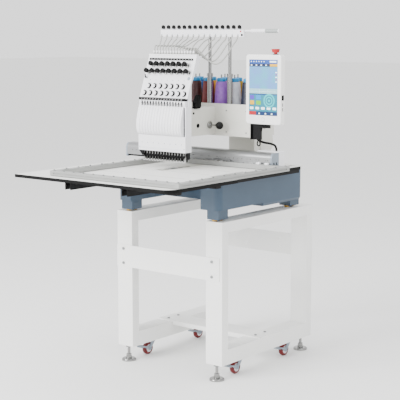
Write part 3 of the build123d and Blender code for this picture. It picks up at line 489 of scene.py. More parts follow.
NODE_FINISHES: dict[str, Finish] = {
    "stand_side_frame_left": POWDER_WHITE, "stand_side_frame_right": POWDER_WHITE,
    "stand_cross_plates": POWDER_WHITE, "stand_cross_channel": POWDER_WHITE,
    "fasteners": ZINC, "castor_plates": ZINC, "base_casting": ENAMEL_BLUE, "table_panels": LAMINATE,
    "table_supports": BLACK_STEEL, "table_edge_band": BLACK_MOULDED, "y_rails": BLACK_STEEL,
    "bed_arm": ENAMEL_GREY, "needle_plate": POLISHED_STEEL, "rotary_hook": POLISHED_STEEL,
    "bobbin_case": POLISHED_STEEL, "x_beam": ANODISED, "beam_drive": GREY_STEEL, "x_motor_cover": COVER_WHITE,
    "x_carriage": ANODISED, "pantograph_frame": FRAME_ALUMINIUM, "column_casting": ENAMEL_GREY,
    "upper_arm": ENAMEL_GREY, "cross_box": ENAMEL_GREY, "main_shaft_knob": BLACK_GLOSS,
    "needle_case_rail": POLISHED_STEEL, "needle_case_body": COVER_WHITE, "take_up_cover": COVER_WHITE,
    "tension_board": COVER_WHITE, "tension_knobs": BLACK_MOULDED, "check_spring_rings": BLACK_MOULDED,
    "thread_guide_strips": BLACK_STEEL, "needle_bars": POLISHED_STEEL, "active_needle_bar": POLISHED_STEEL,
    "presser_feet": BRIGHT_STEEL, "active_presser_foot": BRIGHT_STEEL,
    "thread_stand_posts": POLISHED_STEEL, "thread_stand_sleeves": POLISHED_STEEL,
    "thread_stand_rail": COVER_WHITE, "thread_guides": BLACK_GLOSS, "cone_cores": CORE_CYAN,
    "cone_threads": CORE_CYAN, "thread_tubes": TUBE_CLEAR, "tablet_bracket": BLACK_STEEL,
    "tablet_fittings": BLACK_MOULDED, "tablet_housing": TABLET_WHITE, "tablet_screen": BLACK_GLOSS,
    "home_button": TABLET_WHITE, "emergency_stop": STOP_RED,
    **{f"levelling_foot_{corner}": POLISHED_STEEL for corner in CORNERS},
    **{f"castor_fork_{corner}": GREY_STEEL for corner in CORNERS},
    **{f"castor_wheel_{corner}": URETHANE_RED for corner in CORNERS},
}


def dress_nodes() -> None:
    """Give every CAD node its finish."""
    for name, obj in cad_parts.items():
        obj.data.materials.clear()
        obj.data.materials.append(NODE_FINISHES[name].material())
        log.info("%s is finished in %s", name, NODE_FINISHES[name].name)


@dataclass
class Castors:
    """The four castor wheels and the threads of the levelling feet."""

    rows: RowTree
    hub_share: float = 0.62
    sides: int = 40

    def build(self) -> None:
        """Build a tyre and a hub for each wheel, and a thread for each foot."""
        for corner in CORNERS:
            self.wheel(corner)
            self.thread(corner)

    def wheel(self, corner: str) -> None:
        """A cast polyurethane tyre on a moulded hub with a bolt cap.

        Args:
            corner: Which corner of the stand it is at.
        """
        low, high = corners_of(f"castor_wheel_{corner}")
        middle = (low + high) / 2
        radius = (high.z - low.z) / 2
        half = (high.x - low.x) / 2
        rim = radius * self.hub_share
        start = (middle.x, middle.y, middle.z)
        shape = bmesh.new()
        add_lathe(shape, [(rim, -half * 0.92), (rim + 1 * MM, -half), (radius - 4 * MM, -half),
                          (radius - 1.2 * MM, -half * 0.72), (radius, -half * 0.35), (radius, half * 0.35),
                          (radius - 1.2 * MM, half * 0.72), (radius - 4 * MM, half), (rim + 1 * MM, half),
                          (rim, half * 0.92), (rim, -half * 0.92)], start, (1, 0, 0), self.sides)
        keep(piece(f"castor_tyre_{corner}", shape, URETHANE_RED), f"wheel_{corner}", f"castor_wheel_{corner}",
             slot="red_rubber")
        bore = 4.05 * MM
        shape = bmesh.new()
        add_lathe(shape,
                  [(bore, -half), (9 * MM, -half), (10 * MM, -half * 0.6), (rim - 2.5 * MM, -half * 0.5),
                          (rim - 1.5 * MM, -half * 0.9), (rim, -half * 0.9), (rim, half * 0.9),
                          (rim - 1.5 * MM, half * 0.9), (rim - 2.5 * MM, half * 0.5), (10 * MM, half * 0.6),
                          (9 * MM, half), (bore, half), (bore, -half)], start, (1, 0, 0), self.sides)
        keep(piece(f"castor_hub_{corner}", shape, COVER_WHITE), f"wheel_{corner}", slot="cover_white")

    def thread(self, corner: str) -> None:
        """The rolled thread on one levelling foot, as a row of fine rings.

        Args:
            corner: Which corner of the stand it is at.
        """
        low, high = corners_of(f"levelling_foot_{corner}")
        middle = (low + high) / 2
        crest = 5.95 * MM
        root = 5.2 * MM
        pitch = 1.75 * MM
        shape = bmesh.new()
        add_lathe(shape, [(root, 0.0), (crest + 0.08 * MM, pitch * 0.4), (root, pitch * 0.8), (root, 0.0)],
                  (0, 0, 0), (0, 0, 1), 24)
        ring = piece("thread_ring", shape, ZINC)
        start = (middle.x, middle.y, low.z + 29 * MM)
        made = self.rows.build(f"foot_thread_{corner}", ring, [(16, start, (0, 0, pitch))])
        keep(made, f"foot_{corner}", slot="polished_steel")


@dataclass
class Table:
    """The bright screws and lines on the table and on the pantograph frame."""

    rows: RowTree
    screw_radius: float = 3.4 * MM

    def build(self) -> None:
        """Build the screws on the frame, the painted shadow beside the needle plate and the brass nuts."""
        self.frame_screws()
        self.bed_gap_shadow()
        self.table_seams()
        self.levelling_nuts()

    def screw(self) -> bpy.types.Object:
        """One socket-head screw at the origin, its head up."""
        r = self.screw_radius
        shape = bmesh.new()
        add_lathe(shape, [(0.0, -0.4 * MM), (r, -0.4 * MM), (r, 1.4 * r * 0.5), (r * 0.85, 1.8 * r * 0.5),
                          (r * 0.5, 1.8 * r * 0.5), (r * 0.45, 0.4 * r), (0.0, 0.4 * r)], (0, 0, 0),
                          (0, 0, 1), 12)
        return piece("frame_screw", shape, ZINC)

    def frame_screws(self) -> None:
        """Rows of small screws along the pantograph frame's sides and front."""
        low, high = corners_of("pantograph_frame")
        top = high.z - 1.6 * MM
        inset = 13 * MM
        across = high.x - low.x - 2 * inset
        depth = high.y - low.y - 2 * inset
        step_y = depth / 10
        step_x = across / 12
        rows = [(11, (low.x + inset, low.y + inset, top + 1.2 * MM), (0, step_y, 0)),
                (11, (high.x - inset, low.y + inset, top + 1.2 * MM), (0, step_y, 0)),
                (11, (low.x + inset + step_x, low.y + inset, top), (step_x, 0, 0)),
                (11, (low.x + inset + step_x, high.y - inset, top), (step_x, 0, 0))]
        keep(self.rows.build("frame_screws", self.screw(), rows), "pantograph",
             slot="polished_steel")

    def bed_gap_shadow(self) -> None:
        """A near-black strip of painted shadow, laid where the gap beside the needle plate and the bed arm is
        in shade.
        """
        low, high = corners_of("needle_plate")
        bed_low = corners_of("bed_arm")[0]
        shape = bmesh.new()
        right = (low.x + high.x) / 2 + 13 * MM
        # Painted shadow: thin black strips over the gap in shade
        add_block(shape, (right - 7 * MM, bed_low.y + 6 * MM, high.z),
                  (right, high.y + 60 * MM, high.z + 0.4 * MM))
        add_block(shape, (right - 24 * MM, bed_low.y + 6 * MM, high.z),
                  (right - 7 * MM, bed_low.y + 13 * MM, high.z + 0.4 * MM))
        keep(piece("hook_cover_slide", shape, GAP_SHADOW_BLACK), "machine", slot="black_metal")

    def table_seams(self) -> None:
        """Fine seams across the table's panels, where its laminate strips meet."""
        low, high = corners_of("table_panels")
        bed_low, bed_high = corners_of("bed_arm")
        shape = bmesh.new()
        for share in (0.16, 0.3, 0.46, 0.6):
            y = low.y + share * (high.y - low.y)
            add_block(shape, (low.x + 112 * MM, y, high.z - 0.2 * MM),
                      (bed_low.x - 6 * MM, y + 1.6 * MM, high.z + 0.12 * MM))
            add_block(shape, (bed_high.x + 6 * MM, y, high.z - 0.2 * MM),
                      (high.x - 170 * MM, y + 1.6 * MM, high.z + 0.12 * MM))
        keep(piece("table_seams", shape, SEAM_GREY), "machine", slot="table_laminate")

    def levelling_nuts(self) -> None:
        """Yellow-passivated nuts between the base's feet and the stand."""
        base_low, base_high = corners_of("base_casting")
        frame_high = corners_of("stand_side_frame_left")[1]
        gap = base_low.z - frame_high.z
        shape = bmesh.new()
        add_lathe(shape, [(0.0, 0.0), (10.6 * MM, 0.0), (11.2 * MM, 1 * MM), (11.2 * MM, gap - 1 * MM),
                          (10.6 * MM, gap - 0.1 * MM), (0.0, gap - 0.1 * MM)], (0, 0, 0), (0, 0, 1), 6)
        nut = piece("levelling_nut", shape, BRASS, 20)
        middle = (base_low.x + base_high.x) / 2
        rows = []
        stand_low, stand_high = corners_of("stand_cross_plates")
        rear = stand_high.y - 3 * MM
        front = stand_low.y + 3 * MM
        for side in (-1, 1):
            x = middle + side * 224 * MM
            rows.append((2, (x, front + 18 * MM, frame_high.z), (0, 34 * MM, 0)))
            rows.append((2, (x, rear - 122 * MM, frame_high.z), (0, 37 * MM, 0)))
        keep(self.rows.build("levelling_nuts", nut, rows), "machine", slot="zinc_steel")


@dataclass
class Arm:
    """The main-shaft knob, the small fittings of the arm and the two cables."""

    ball_radius: float = 16 * MM

    def build(self) -> None:
        """Build the knob and its disc, the small fittings of the arm, and the cables."""
        self.knob()
        self.fittings()
        self.cables()

    def cables(self) -> None:
        """The control unit's lead, and the thicker harness down to the beam's motor."""
        box_high = corners_of("cross_box")[1]
        bracket_low = corners_of("tablet_bracket")[0]
        x, y, z = box_high.x, bracket_low.y + 42 * MM, bracket_low.z
        lead = tube("control_lead",
                    [(x + 50 * MM, y - 6 * MM, z + 72 * MM), (x + 48 * MM, y - 8 * MM, z + 44 * MM),
                                     (x + 34 * MM, y - 10 * MM, z + 6 * MM),
                                     (x + 22 * MM, y - 8 * MM, z - 16 * MM),
                                     (x + 26 * MM, y - 6 * MM, z - 27 * MM),
                                     (x + 37 * MM, y - 5 * MM, z - 22 * MM),
                                     (x + 33 * MM, y - 4 * MM, z - 6 * MM),
                                     (x + 14 * MM, y - 3 * MM, z + 2 * MM),
                                     (x + 6 * MM, y - 3 * MM, z + 22 * MM)], 2.6 * MM, RUBBER, 3)
        keep(lead, "machine", slot="black_plastic")
        cover_low, cover_high = corners_of("x_motor_cover")
        end = Vector((x + 72 * MM, (cover_low.y + cover_high.y) / 2, cover_high.z - 1 * MM))
        start = Vector((x + 8 * MM, y + 6 * MM, z + 22 * MM))
        harness = tube("harness", [start, start + Vector((4 * MM, -2 * MM, -20 * MM)),
                                   start + Vector((30 * MM, 0, -34 * MM)),
                                   end + Vector((-14 * MM, -8 * MM, 30 * MM)),
                                   end + Vector((0, 0, 18 * MM)), end], 4.6 * MM, RUBBER, 3)
        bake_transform(harness)
        log.info("the harness bends between the arm and the beam's motor")

    def knob(self) -> None:
        """A black ball on a steel shaft, behind it a bright graduated disc."""
        low, high = corners_of("main_shaft_knob")
        arm_high = corners_of("upper_arm")[1]
        middle = ((low.y + high.y) / 2, (low.z + high.z) / 2)
        start = (arm_high.x, *middle)
        neck = high.x - arm_high.x - 2 * self.ball_radius + 4 * MM
        shape = bmesh.new()
        add_lathe(shape, [(0.0, 0.4 * MM), (13 * MM, 0.4 * MM), (15 * MM, 1.2 * MM), (15 * MM, 5.4 * MM),
                          (14 * MM, 6.3 * MM), (10 * MM, 6.3 * MM), (9.4 * MM, 5.0 * MM), (6 * MM, 5.0 * MM),
                          (5 * MM, 7 * MM), (4 * MM, 8 * MM), (4 * MM, neck), (0.0, neck)], start, (1, 0, 0),
                          40)
        keep(piece("shaft_disc", shape, POLISHED_STEEL), "main_shaft", "main_shaft_knob",
             slot="polished_steel")
        reach = high.x - arm_high.x
        centre = reach - self.ball_radius
        outline = [(6 * MM, centre - self.ball_radius - 1.0 * MM),
                   (7 * MM, centre - self.ball_radius + 1.5 * MM)]
        for step in range(3, 20):
            angle = math.pi * step / 20
            outline.append((self.ball_radius * math.sin(angle), centre - self.ball_radius * math.cos(angle)))
        outline.append((0.0, reach - 0.15 * MM))
        outline.insert(0, (0.0, centre - self.ball_radius - 1.0 * MM))
        shape = bmesh.new()
        add_lathe(shape, outline, start, (1, 0, 0), 40)
        keep(piece("shaft_ball_knob", shape, BLACK_GLOSS), "main_shaft", slot="black_plastic")

    def fittings(self) -> None:
        """An oil plug and two small plugs in the arm's right side, and the case's black stop block."""
        low, high = corners_of("upper_arm")
        shape = bmesh.new()
        for y, z, radius in ((low.y + 58 * MM, low.z + 41 * MM, 9 * MM),
                             (low.y + 30 * MM, low.z + 92 * MM, 5 * MM),
                             (low.y + 30 * MM, high.z + 4 * MM, 5 * MM)):
            add_lathe(shape, [(0.0, 0.0), (radius, 0.0), (radius, 1.2 * MM), (radius * 0.8, 1.8 * MM),
                              (radius * 0.7, 0.9 * MM), (radius * 0.42, 0.9 * MM), (radius * 0.38, 2.4 * MM),
                              (0.0, 2.4 * MM)], (high.x, y, z), (1, 0, 0), 28)
        keep(piece("arm_oil_plug", shape, BLACK_STEEL), "machine", slot="black_metal")
        shape = bmesh.new()
        block_low = [(34, -2), (66, -2), (72, 6), (72, 50), (56, 52), (44, 34), (34, 22)]
        add_prism(shape, [(high.x + 6 * MM, low.y + y * MM, high.z + z * MM) for y, z in block_low],
                  (-16 * MM, 0, 0))
        keep(piece("case_stop_block", shape, BLACK_MOULDED), "machine", slot="black_metal")


@dataclass
class Head:
    """The needle case's covers, tension units, levers and strips, seen from the front."""

    rows: RowTree
    pitch: float = NEEDLE_PITCH
    needles: int = NEEDLES
    lean: float = math.radians(20)
    knob_rows: tuple[float, float] = (138 * MM, 108 * MM)
    ring_rows: tuple[float, float] = (49 * MM, 19 * MM)
    strip_up: float = 163 * MM
    bulge: float = 20 * MM
    first: float = field(init=False)
    foot: Vector = field(init=False)

    def __post_init__(self) -> None:
        """Read the first needle's place and the board's foot from the frame."""
        self.first = corners_of("needle_bars")[0].x + BAR_MARGIN
        low = corners_of("tension_board")[0]
        self.foot = Vector((0.0, low.y, low.z))

    @property
    def out(self) -> Vector:
        """The board's outward direction."""
        return Vector((0, -math.cos(self.lean), math.sin(self.lean)))

    def on_board(self, up: float, out: float = 0.0) -> Vector:
        """A point on the leaning board, at x 0.

        Args:
            up: How far up the board.
            out: How far in front of it.

        Returns:
            The point.
        """
        along = Vector((0, math.sin(self.lean), math.cos(self.lean)))
        return self.foot + along * up + self.out * out

    def build(self) -> None:
        """Build every part of the case's front."""
        self.cover()
        self.take_up_levers()
        self.strips()
        self.tension_units()
        self.check_springs()
        self.screws()

    def swell(self, share: float) -> float:
        """How far the cover bulges at a share of its height from its foot."""
        return self.bulge * max(math.sin(math.pi * share ** 0.6), 0.0) ** 0.8

    def cover(self) -> None:
        """The bulging take-up cover with a rib in front of each needle."""
        low, high = corners_of("take_up_cover")
        back = high.y
        steps = 28
        height = high.z - low.z
        front = [(low.x, back - 1.5 * MM - self.swell(n / steps),
                  low.z + height * n / steps) for n in range(steps + 1)]
        shape = bmesh.new()
        outline = [(low.x, back, low.z), *front, (low.x, back, high.z)]
        add_prism(shape, outline, (high.x - low.x, 0, 0))
        bmesh.ops.remove_doubles(shape, verts=shape.verts, dist=1e-6)
        keep(piece("take_up_cover_shell", shape, COVER_WHITE, 28), "needle_case", "take_up_cover",
             slot="cover_white")
        half = 5.3 * MM
        across = 8
        shape = bmesh.new()
        grid = []
        for n in range(steps + 1):
            share = n / steps
            edge = min(share, 1 - share) * 12
            proud = 4.4 * MM * min(edge, 1.0) ** 0.5
            line = []
            for m in range(across + 1):
                u = -1 + 2 * m / across
                depth = self.swell(share) + 1.0 * MM + proud * math.sqrt(max(1 - u * u, 0.0))
                line.append(shape.verts.new((u * half, back - depth, low.z + height * share)))
            grid.append(line)
        rear = [[shape.verts.new((side * half, back - self.swell(n / steps) * 0.9,
                                  low.z + height * n / steps))
                 for side in (-1, 1)] for n in range(steps + 1)]
        for n in range(steps):
            for m in range(across):
                shape.faces.new([grid[n][m], grid[n][m + 1], grid[n + 1][m + 1], grid[n + 1][m]])
            shape.faces.new([rear[n][0], rear[n + 1][0], rear[n + 1][1], rear[n][1]])
            shape.faces.new([grid[n][0], grid[n + 1][0], rear[n + 1][0], rear[n][0]])
            shape.faces.new([grid[n][across], rear[n][1], rear[n + 1][1], grid[n + 1][across]])
        for n in (0, steps):
            shape.faces.new([*grid[n], rear[n][1], rear[n][0]])
        rib = piece("rib", shape, COVER_WHITE, 40)
        made = self.rows.build("take_up_cover_ribs", rib,
                               [(self.needles, (self.first, 0, 0), (self.pitch, 0, 0))])
        keep(made, "needle_case", slot="cover_white")

    def take_up_levers(self) -> None:
        """The bent steel levers above the cover, with black blocks behind them as painted shade in their
        slots.
        """
        front = corners_of("needle_case_body")[0].y + 3 * MM
        top = corners_of("take_up_cover")[1].z
        shape = bmesh.new()
        # Black blocks: painted shade in the lever slots behind each lever
        add_block(shape, (-1.5 * MM, front - 3.2 * MM, top - 1 * MM),
                  (1.5 * MM, front + 1 * MM, top + 17 * MM))
        slot = piece("slot", shape, BLACK_STEEL)
        keep(self.rows.build("take_up_slots", slot, [(self.needles, (self.first, 0, 0), (self.pitch, 0, 0))]),
             "needle_case", slot="black_metal")
        lever = tube("lever",
                     [(1 * MM, front - 2 * MM, top + 2 * MM), (3.6 * MM, front - 6 * MM, top + 6 * MM),
                               (4.6 * MM, front - 8 * MM, top + 11 * MM),
                               (1.0 * MM, front - 8.5 * MM, top + 15 * MM),
                               (-2.4 * MM, front - 7 * MM, top + 12 * MM),
                               (-1 * MM, front - 3 * MM, top + 13 * MM)],
                     1.1 * MM, POLISHED_STEEL, 3)
        keep(self.rows.build("take_up_levers", lever,
                             [(self.needles, (self.first, 0, -4 * MM), (self.pitch, 0, 0))]), "needle_case",
                             slot="polished_steel")

    def strips(self) -> None:
        """The white bridge under the board, two slotted dark strips and the corner brackets."""
        case_low, case_high = corners_of("needle_case_body")
        cover_high = corners_of("take_up_cover")[1]
        front = case_low.y + 4 * MM
        shape = bmesh.new()
        add_block(shape, (case_low.x + 2 * MM, front, cover_high.z),
                  (case_high.x - 6 * MM, case_high.y - 16 * MM, self.foot.z - 9 * MM), 1 * MM)
        keep(piece("guide_bridge", shape, COVER_WHITE), "needle_case", "thread_guide_strips",
             slot="cover_white")
        shape = bmesh.new()
        add_block(shape, (case_low.x + 2 * MM, front - 4 * MM, self.foot.z - 9 * MM),
                  (case_high.x - 6 * MM, case_high.y - 16 * MM, self.foot.z + 1 * MM), 1 * MM)
        middle = (case_low.x + case_high.x) / 2 - 4 * MM
        half = (case_high.x - case_low.x - 20 * MM) / 2
        a = self.on_board(self.strip_up - 4 * MM)
        b = self.on_board(self.strip_up + 4 * MM)
        push = self.out * 3 * MM
        add_prism(shape, [(middle - half, a.y, a.z), (middle + half, a.y, a.z), (middle + half, b.y, b.z),
                          (middle - half, b.y, b.z)], push)
        keep(piece("guide_strips", shape, BLACK_STEEL), "needle_case", slot="black_metal")
        eye = bmesh.new()
        add_lathe(eye, in_mm((0, 0), (3.1, 0), (3.1, 0.8), (1.7, 0.9), (1.5, 0.3), (0, 0.3)), (0, 0, 0),
                  self.out, 12)
        eyelet = piece("eyelet", eye, POLISHED_STEEL)
        up = self.on_board(self.strip_up, 3 * MM)
        eyes = [(self.needles, (self.first, up.y, up.z), (self.pitch, 0, 0)),
                (self.needles, (self.first, front - 4.2 * MM, self.foot.z - 4 * MM), (self.pitch, 0, 0))]
        keep(self.rows.build("strip_eyelets", eyelet, eyes), "needle_case",
             slot="polished_steel")
        shape = bmesh.new()
        left = case_low.x
        add_prism(shape,
                  [(left, case_low.y + 1 * MM, case_low.z), (left + 26 * MM, case_low.y + 1 * MM, case_low.z),
                          (left + 26 * MM, case_low.y + 1 * MM, case_low.z - 19 * MM),
                          (left + 19 * MM, case_low.y + 1 * MM, case_low.z - 21 * MM)], (0, 5 * MM, 0))
        right = case_high.x
        add_block(shape, (right - 10 * MM, case_low.y + 21 * MM, case_low.z - 28 * MM),
                  (right, case_low.y + 31 * MM, case_low.z), 1.5 * MM)
        keep(piece("case_corner_brackets", shape, BLACK_STEEL), "needle_case", slot="black_metal")

    def tension_units(self) -> None:
        """Fifteen thread tensioners: discs, spring and a ridged knob each, in two rows."""
        out = self.out
        rows = []
        for up, count, shift in ((self.knob_rows[0], 7, 1), (self.knob_rows[1], 8, 0)):
            place = self.on_board(up)
            rows.append((count, (self.first + self.pitch * shift, place.y, place.z), (2 * self.pitch, 0, 0)))
        shape = bmesh.new()
        add_lathe(shape,
                  in_mm((0, 0), (9.4, 0), (9.4, 1.2), (7, 2.4), (9, 3.6), (9, 4.4), (5, 5.4), (4.2, 6.2),
                        (5, 7.2), (4.2, 8.2), (5, 9.2), (4.2, 10.2), (4.2, 14), (0, 14)), (0, 0, 0), out, 20)
        discs = piece("discs", shape, POLISHED_STEEL)
        keep(self.rows.build("tension_discs", discs, rows), "needle_case",
             slot="polished_steel")
        shape = bmesh.new()
        ridges = 24
        add_lathe(shape, in_mm((0, 11), (6.5, 11), (8.4, 13), (9.8, 18), (10, 25), (9.2, 27.6), (6, 28),
                               (5.4, 27), (0, 27)),
                      (0, 0, 0), out, ridges)
        axis = out.normalized()
        for vert in shape.verts:
            along = vert.co.dot(axis)
            radial = vert.co - axis * along
            if radial.length > 8.2 * MM:
                angle = math.atan2(radial.cross(Vector((1, 0, 0))).dot(axis), radial.x)
                if round(angle / (math.tau / ridges)) % 2:
                    vert.co = axis * along + radial * 0.93
        knob = piece("knob", shape, BLACK_MOULDED, 25)
        keep(self.rows.build("tension_knob_caps", knob, rows), "needle_case", "tension_knobs",
             slot="black_plastic")

    def check_springs(self) -> None:
        """Fifteen check-spring units: a white boss, a steel pin and a black crescent guard each."""
        out = self.out
        up = Vector((0, math.sin(self.lean), math.cos(self.lean)))
        rows = []
        for height, count, shift in ((self.ring_rows[0], 7, 1), (self.ring_rows[1], 8, 0)):
            place = self.on_board(height)
            rows.append((count, (self.first + self.pitch * shift, place.y, place.z), (2 * self.pitch, 0, 0)))
        shape = bmesh.new()
        outer = 11 * MM
        inner = 8.4 * MM
        shift = 3.2 * MM
        arc = math.radians(118)
        steps = 18
        ring = [(outer * math.cos(-arc + 2 * arc * n / steps), outer * math.sin(-arc + 2 * arc * n / steps))
                for n in range(steps + 1)]
        turns = [arc - 2 * arc * n / steps for n in range(steps + 1)]
        back = [(inner * math.cos(turn) - shift * math.cos(turn * 0.76),
                 inner * math.sin(turn)) for turn in turns]
        outline = [Vector((x, 0, 0)) + up * z for x, z in ring + back]
        for near in range(steps):
            quad = [outline[near], outline[near + 1], outline[2 * steps - near],
                    outline[2 * steps + 1 - near]]
            low_ring = [shape.verts.new(point) for point in quad]
            high_ring = [shape.verts.new(point + out * 5 * MM) for point in quad]
            shape.faces.new(high_ring)
            shape.faces.new(list(reversed(low_ring)))
            shape.faces.new([low_ring[0], low_ring[1], high_ring[1], high_ring[0]])
            shape.faces.new([low_ring[2], low_ring[3], high_ring[3], high_ring[2]])
            if near == 0:
                shape.faces.new([low_ring[3], low_ring[0], high_ring[0], high_ring[3]])
            if near == steps - 1:
                shape.faces.new([low_ring[1], low_ring[2], high_ring[2], high_ring[1]])
        guard = piece("guard", shape, BLACK_MOULDED)
        keep(self.rows.build("check_spring_guards", guard, rows), "needle_case",
             "check_spring_rings",
             slot="black_plastic")
        shape = bmesh.new()
        add_lathe(shape, in_mm((0, 0), (6.4, 0), (6.4, 2.6), (5.6, 3.2), (2.2, 3.2), (2.0, 5), (0, 5.2)),
                  (0, 0, 0), out, 20)
        boss = piece("boss", shape, COVER_WHITE)
        keep(self.rows.build("check_spring_bosses", boss, rows), "needle_case",
             slot="cover_white")

    def screws(self) -> None:
        """Small screws in the front plate and on the board, with the board's lever, button and foot lines."""
        low, high = corners_of("needle_case_body")
        cover_high = corners_of("take_up_cover")[1]
        shape = bmesh.new()
        add_lathe(shape, in_mm((0, 0), (1.9, 0), (1.9, 0.5), (1.4, 0.8), (0, 0.8)),
                  (0, 0, 0), (0, -1, 0), 10)
        screw = piece("plate_screw", shape, GREY_STEEL)
        step = 2 * self.pitch
        face = low.y
        place = self.on_board(75 * MM)
        top = self.on_board(95 * MM)
        rows = [(8, (low.x + 20 * MM, face, low.z + 32 * MM), (step, 0, 0)),
                (15, (self.first, face + 4 * MM, cover_high.z + 21 * MM), (self.pitch, 0, 0)),
                (2, (low.x + 6 * MM, face, low.z + 14 * MM), (high.x - low.x - 12 * MM, 0, 0)),
                (7, (self.first + self.pitch, place.y, place.z), (step, 0, 0)),
                (2, (self.first - 9 * MM, top.y, top.z), (high.x - self.first, 0, 0))]
        keep(self.rows.build("case_screws", screw, rows), "needle_case", slot="zinc_steel")
        left = self.on_board(84 * MM, 0.3 * MM)
        shape = bmesh.new()
        add_lathe(shape, in_mm((0, 0), (2.6, 0), (2.6, 9), (1.8, 11), (0, 11)),
                  (low.x + 12 * MM, left.y, left.z), self.out, 14)
        add_block(shape, (low.x + 10 * MM, left.y - 12 * MM, left.z - 2 * MM),
                  (low.x + 14 * MM, left.y - 8 * MM, left.z + 14 * MM), 1 * MM)
        keep(piece("case_lever", shape, BLACK_MOULDED), "needle_case", slot="black_plastic")
        shape = bmesh.new()
        add_lathe(shape, in_mm((0, 0), (6.6, 0), (6.6, 1.6), (5, 2.2), (4.6, 1.2), (0, 1.2)),
                  (high.x - 14 * MM, left.y, left.z), self.out, 24)
        keep(piece("case_button", shape, GREY_STEEL), "needle_case", slot="zinc_steel")
        # Lines in the cover's white painted darker: painted shade along the case's foot
        shape = bmesh.new()
        for height in (low.z + 8 * MM, low.z + 12 * MM):
            add_block(shape, (low.x + 3 * MM, face - 0.35 * MM, height),
                      (high.x - 3 * MM, face + 0.2 * MM, height + 1.0 * MM))
        keep(piece("case_foot_lines", shape, COVER_SHADE), "needle_case", slot="cover_white")


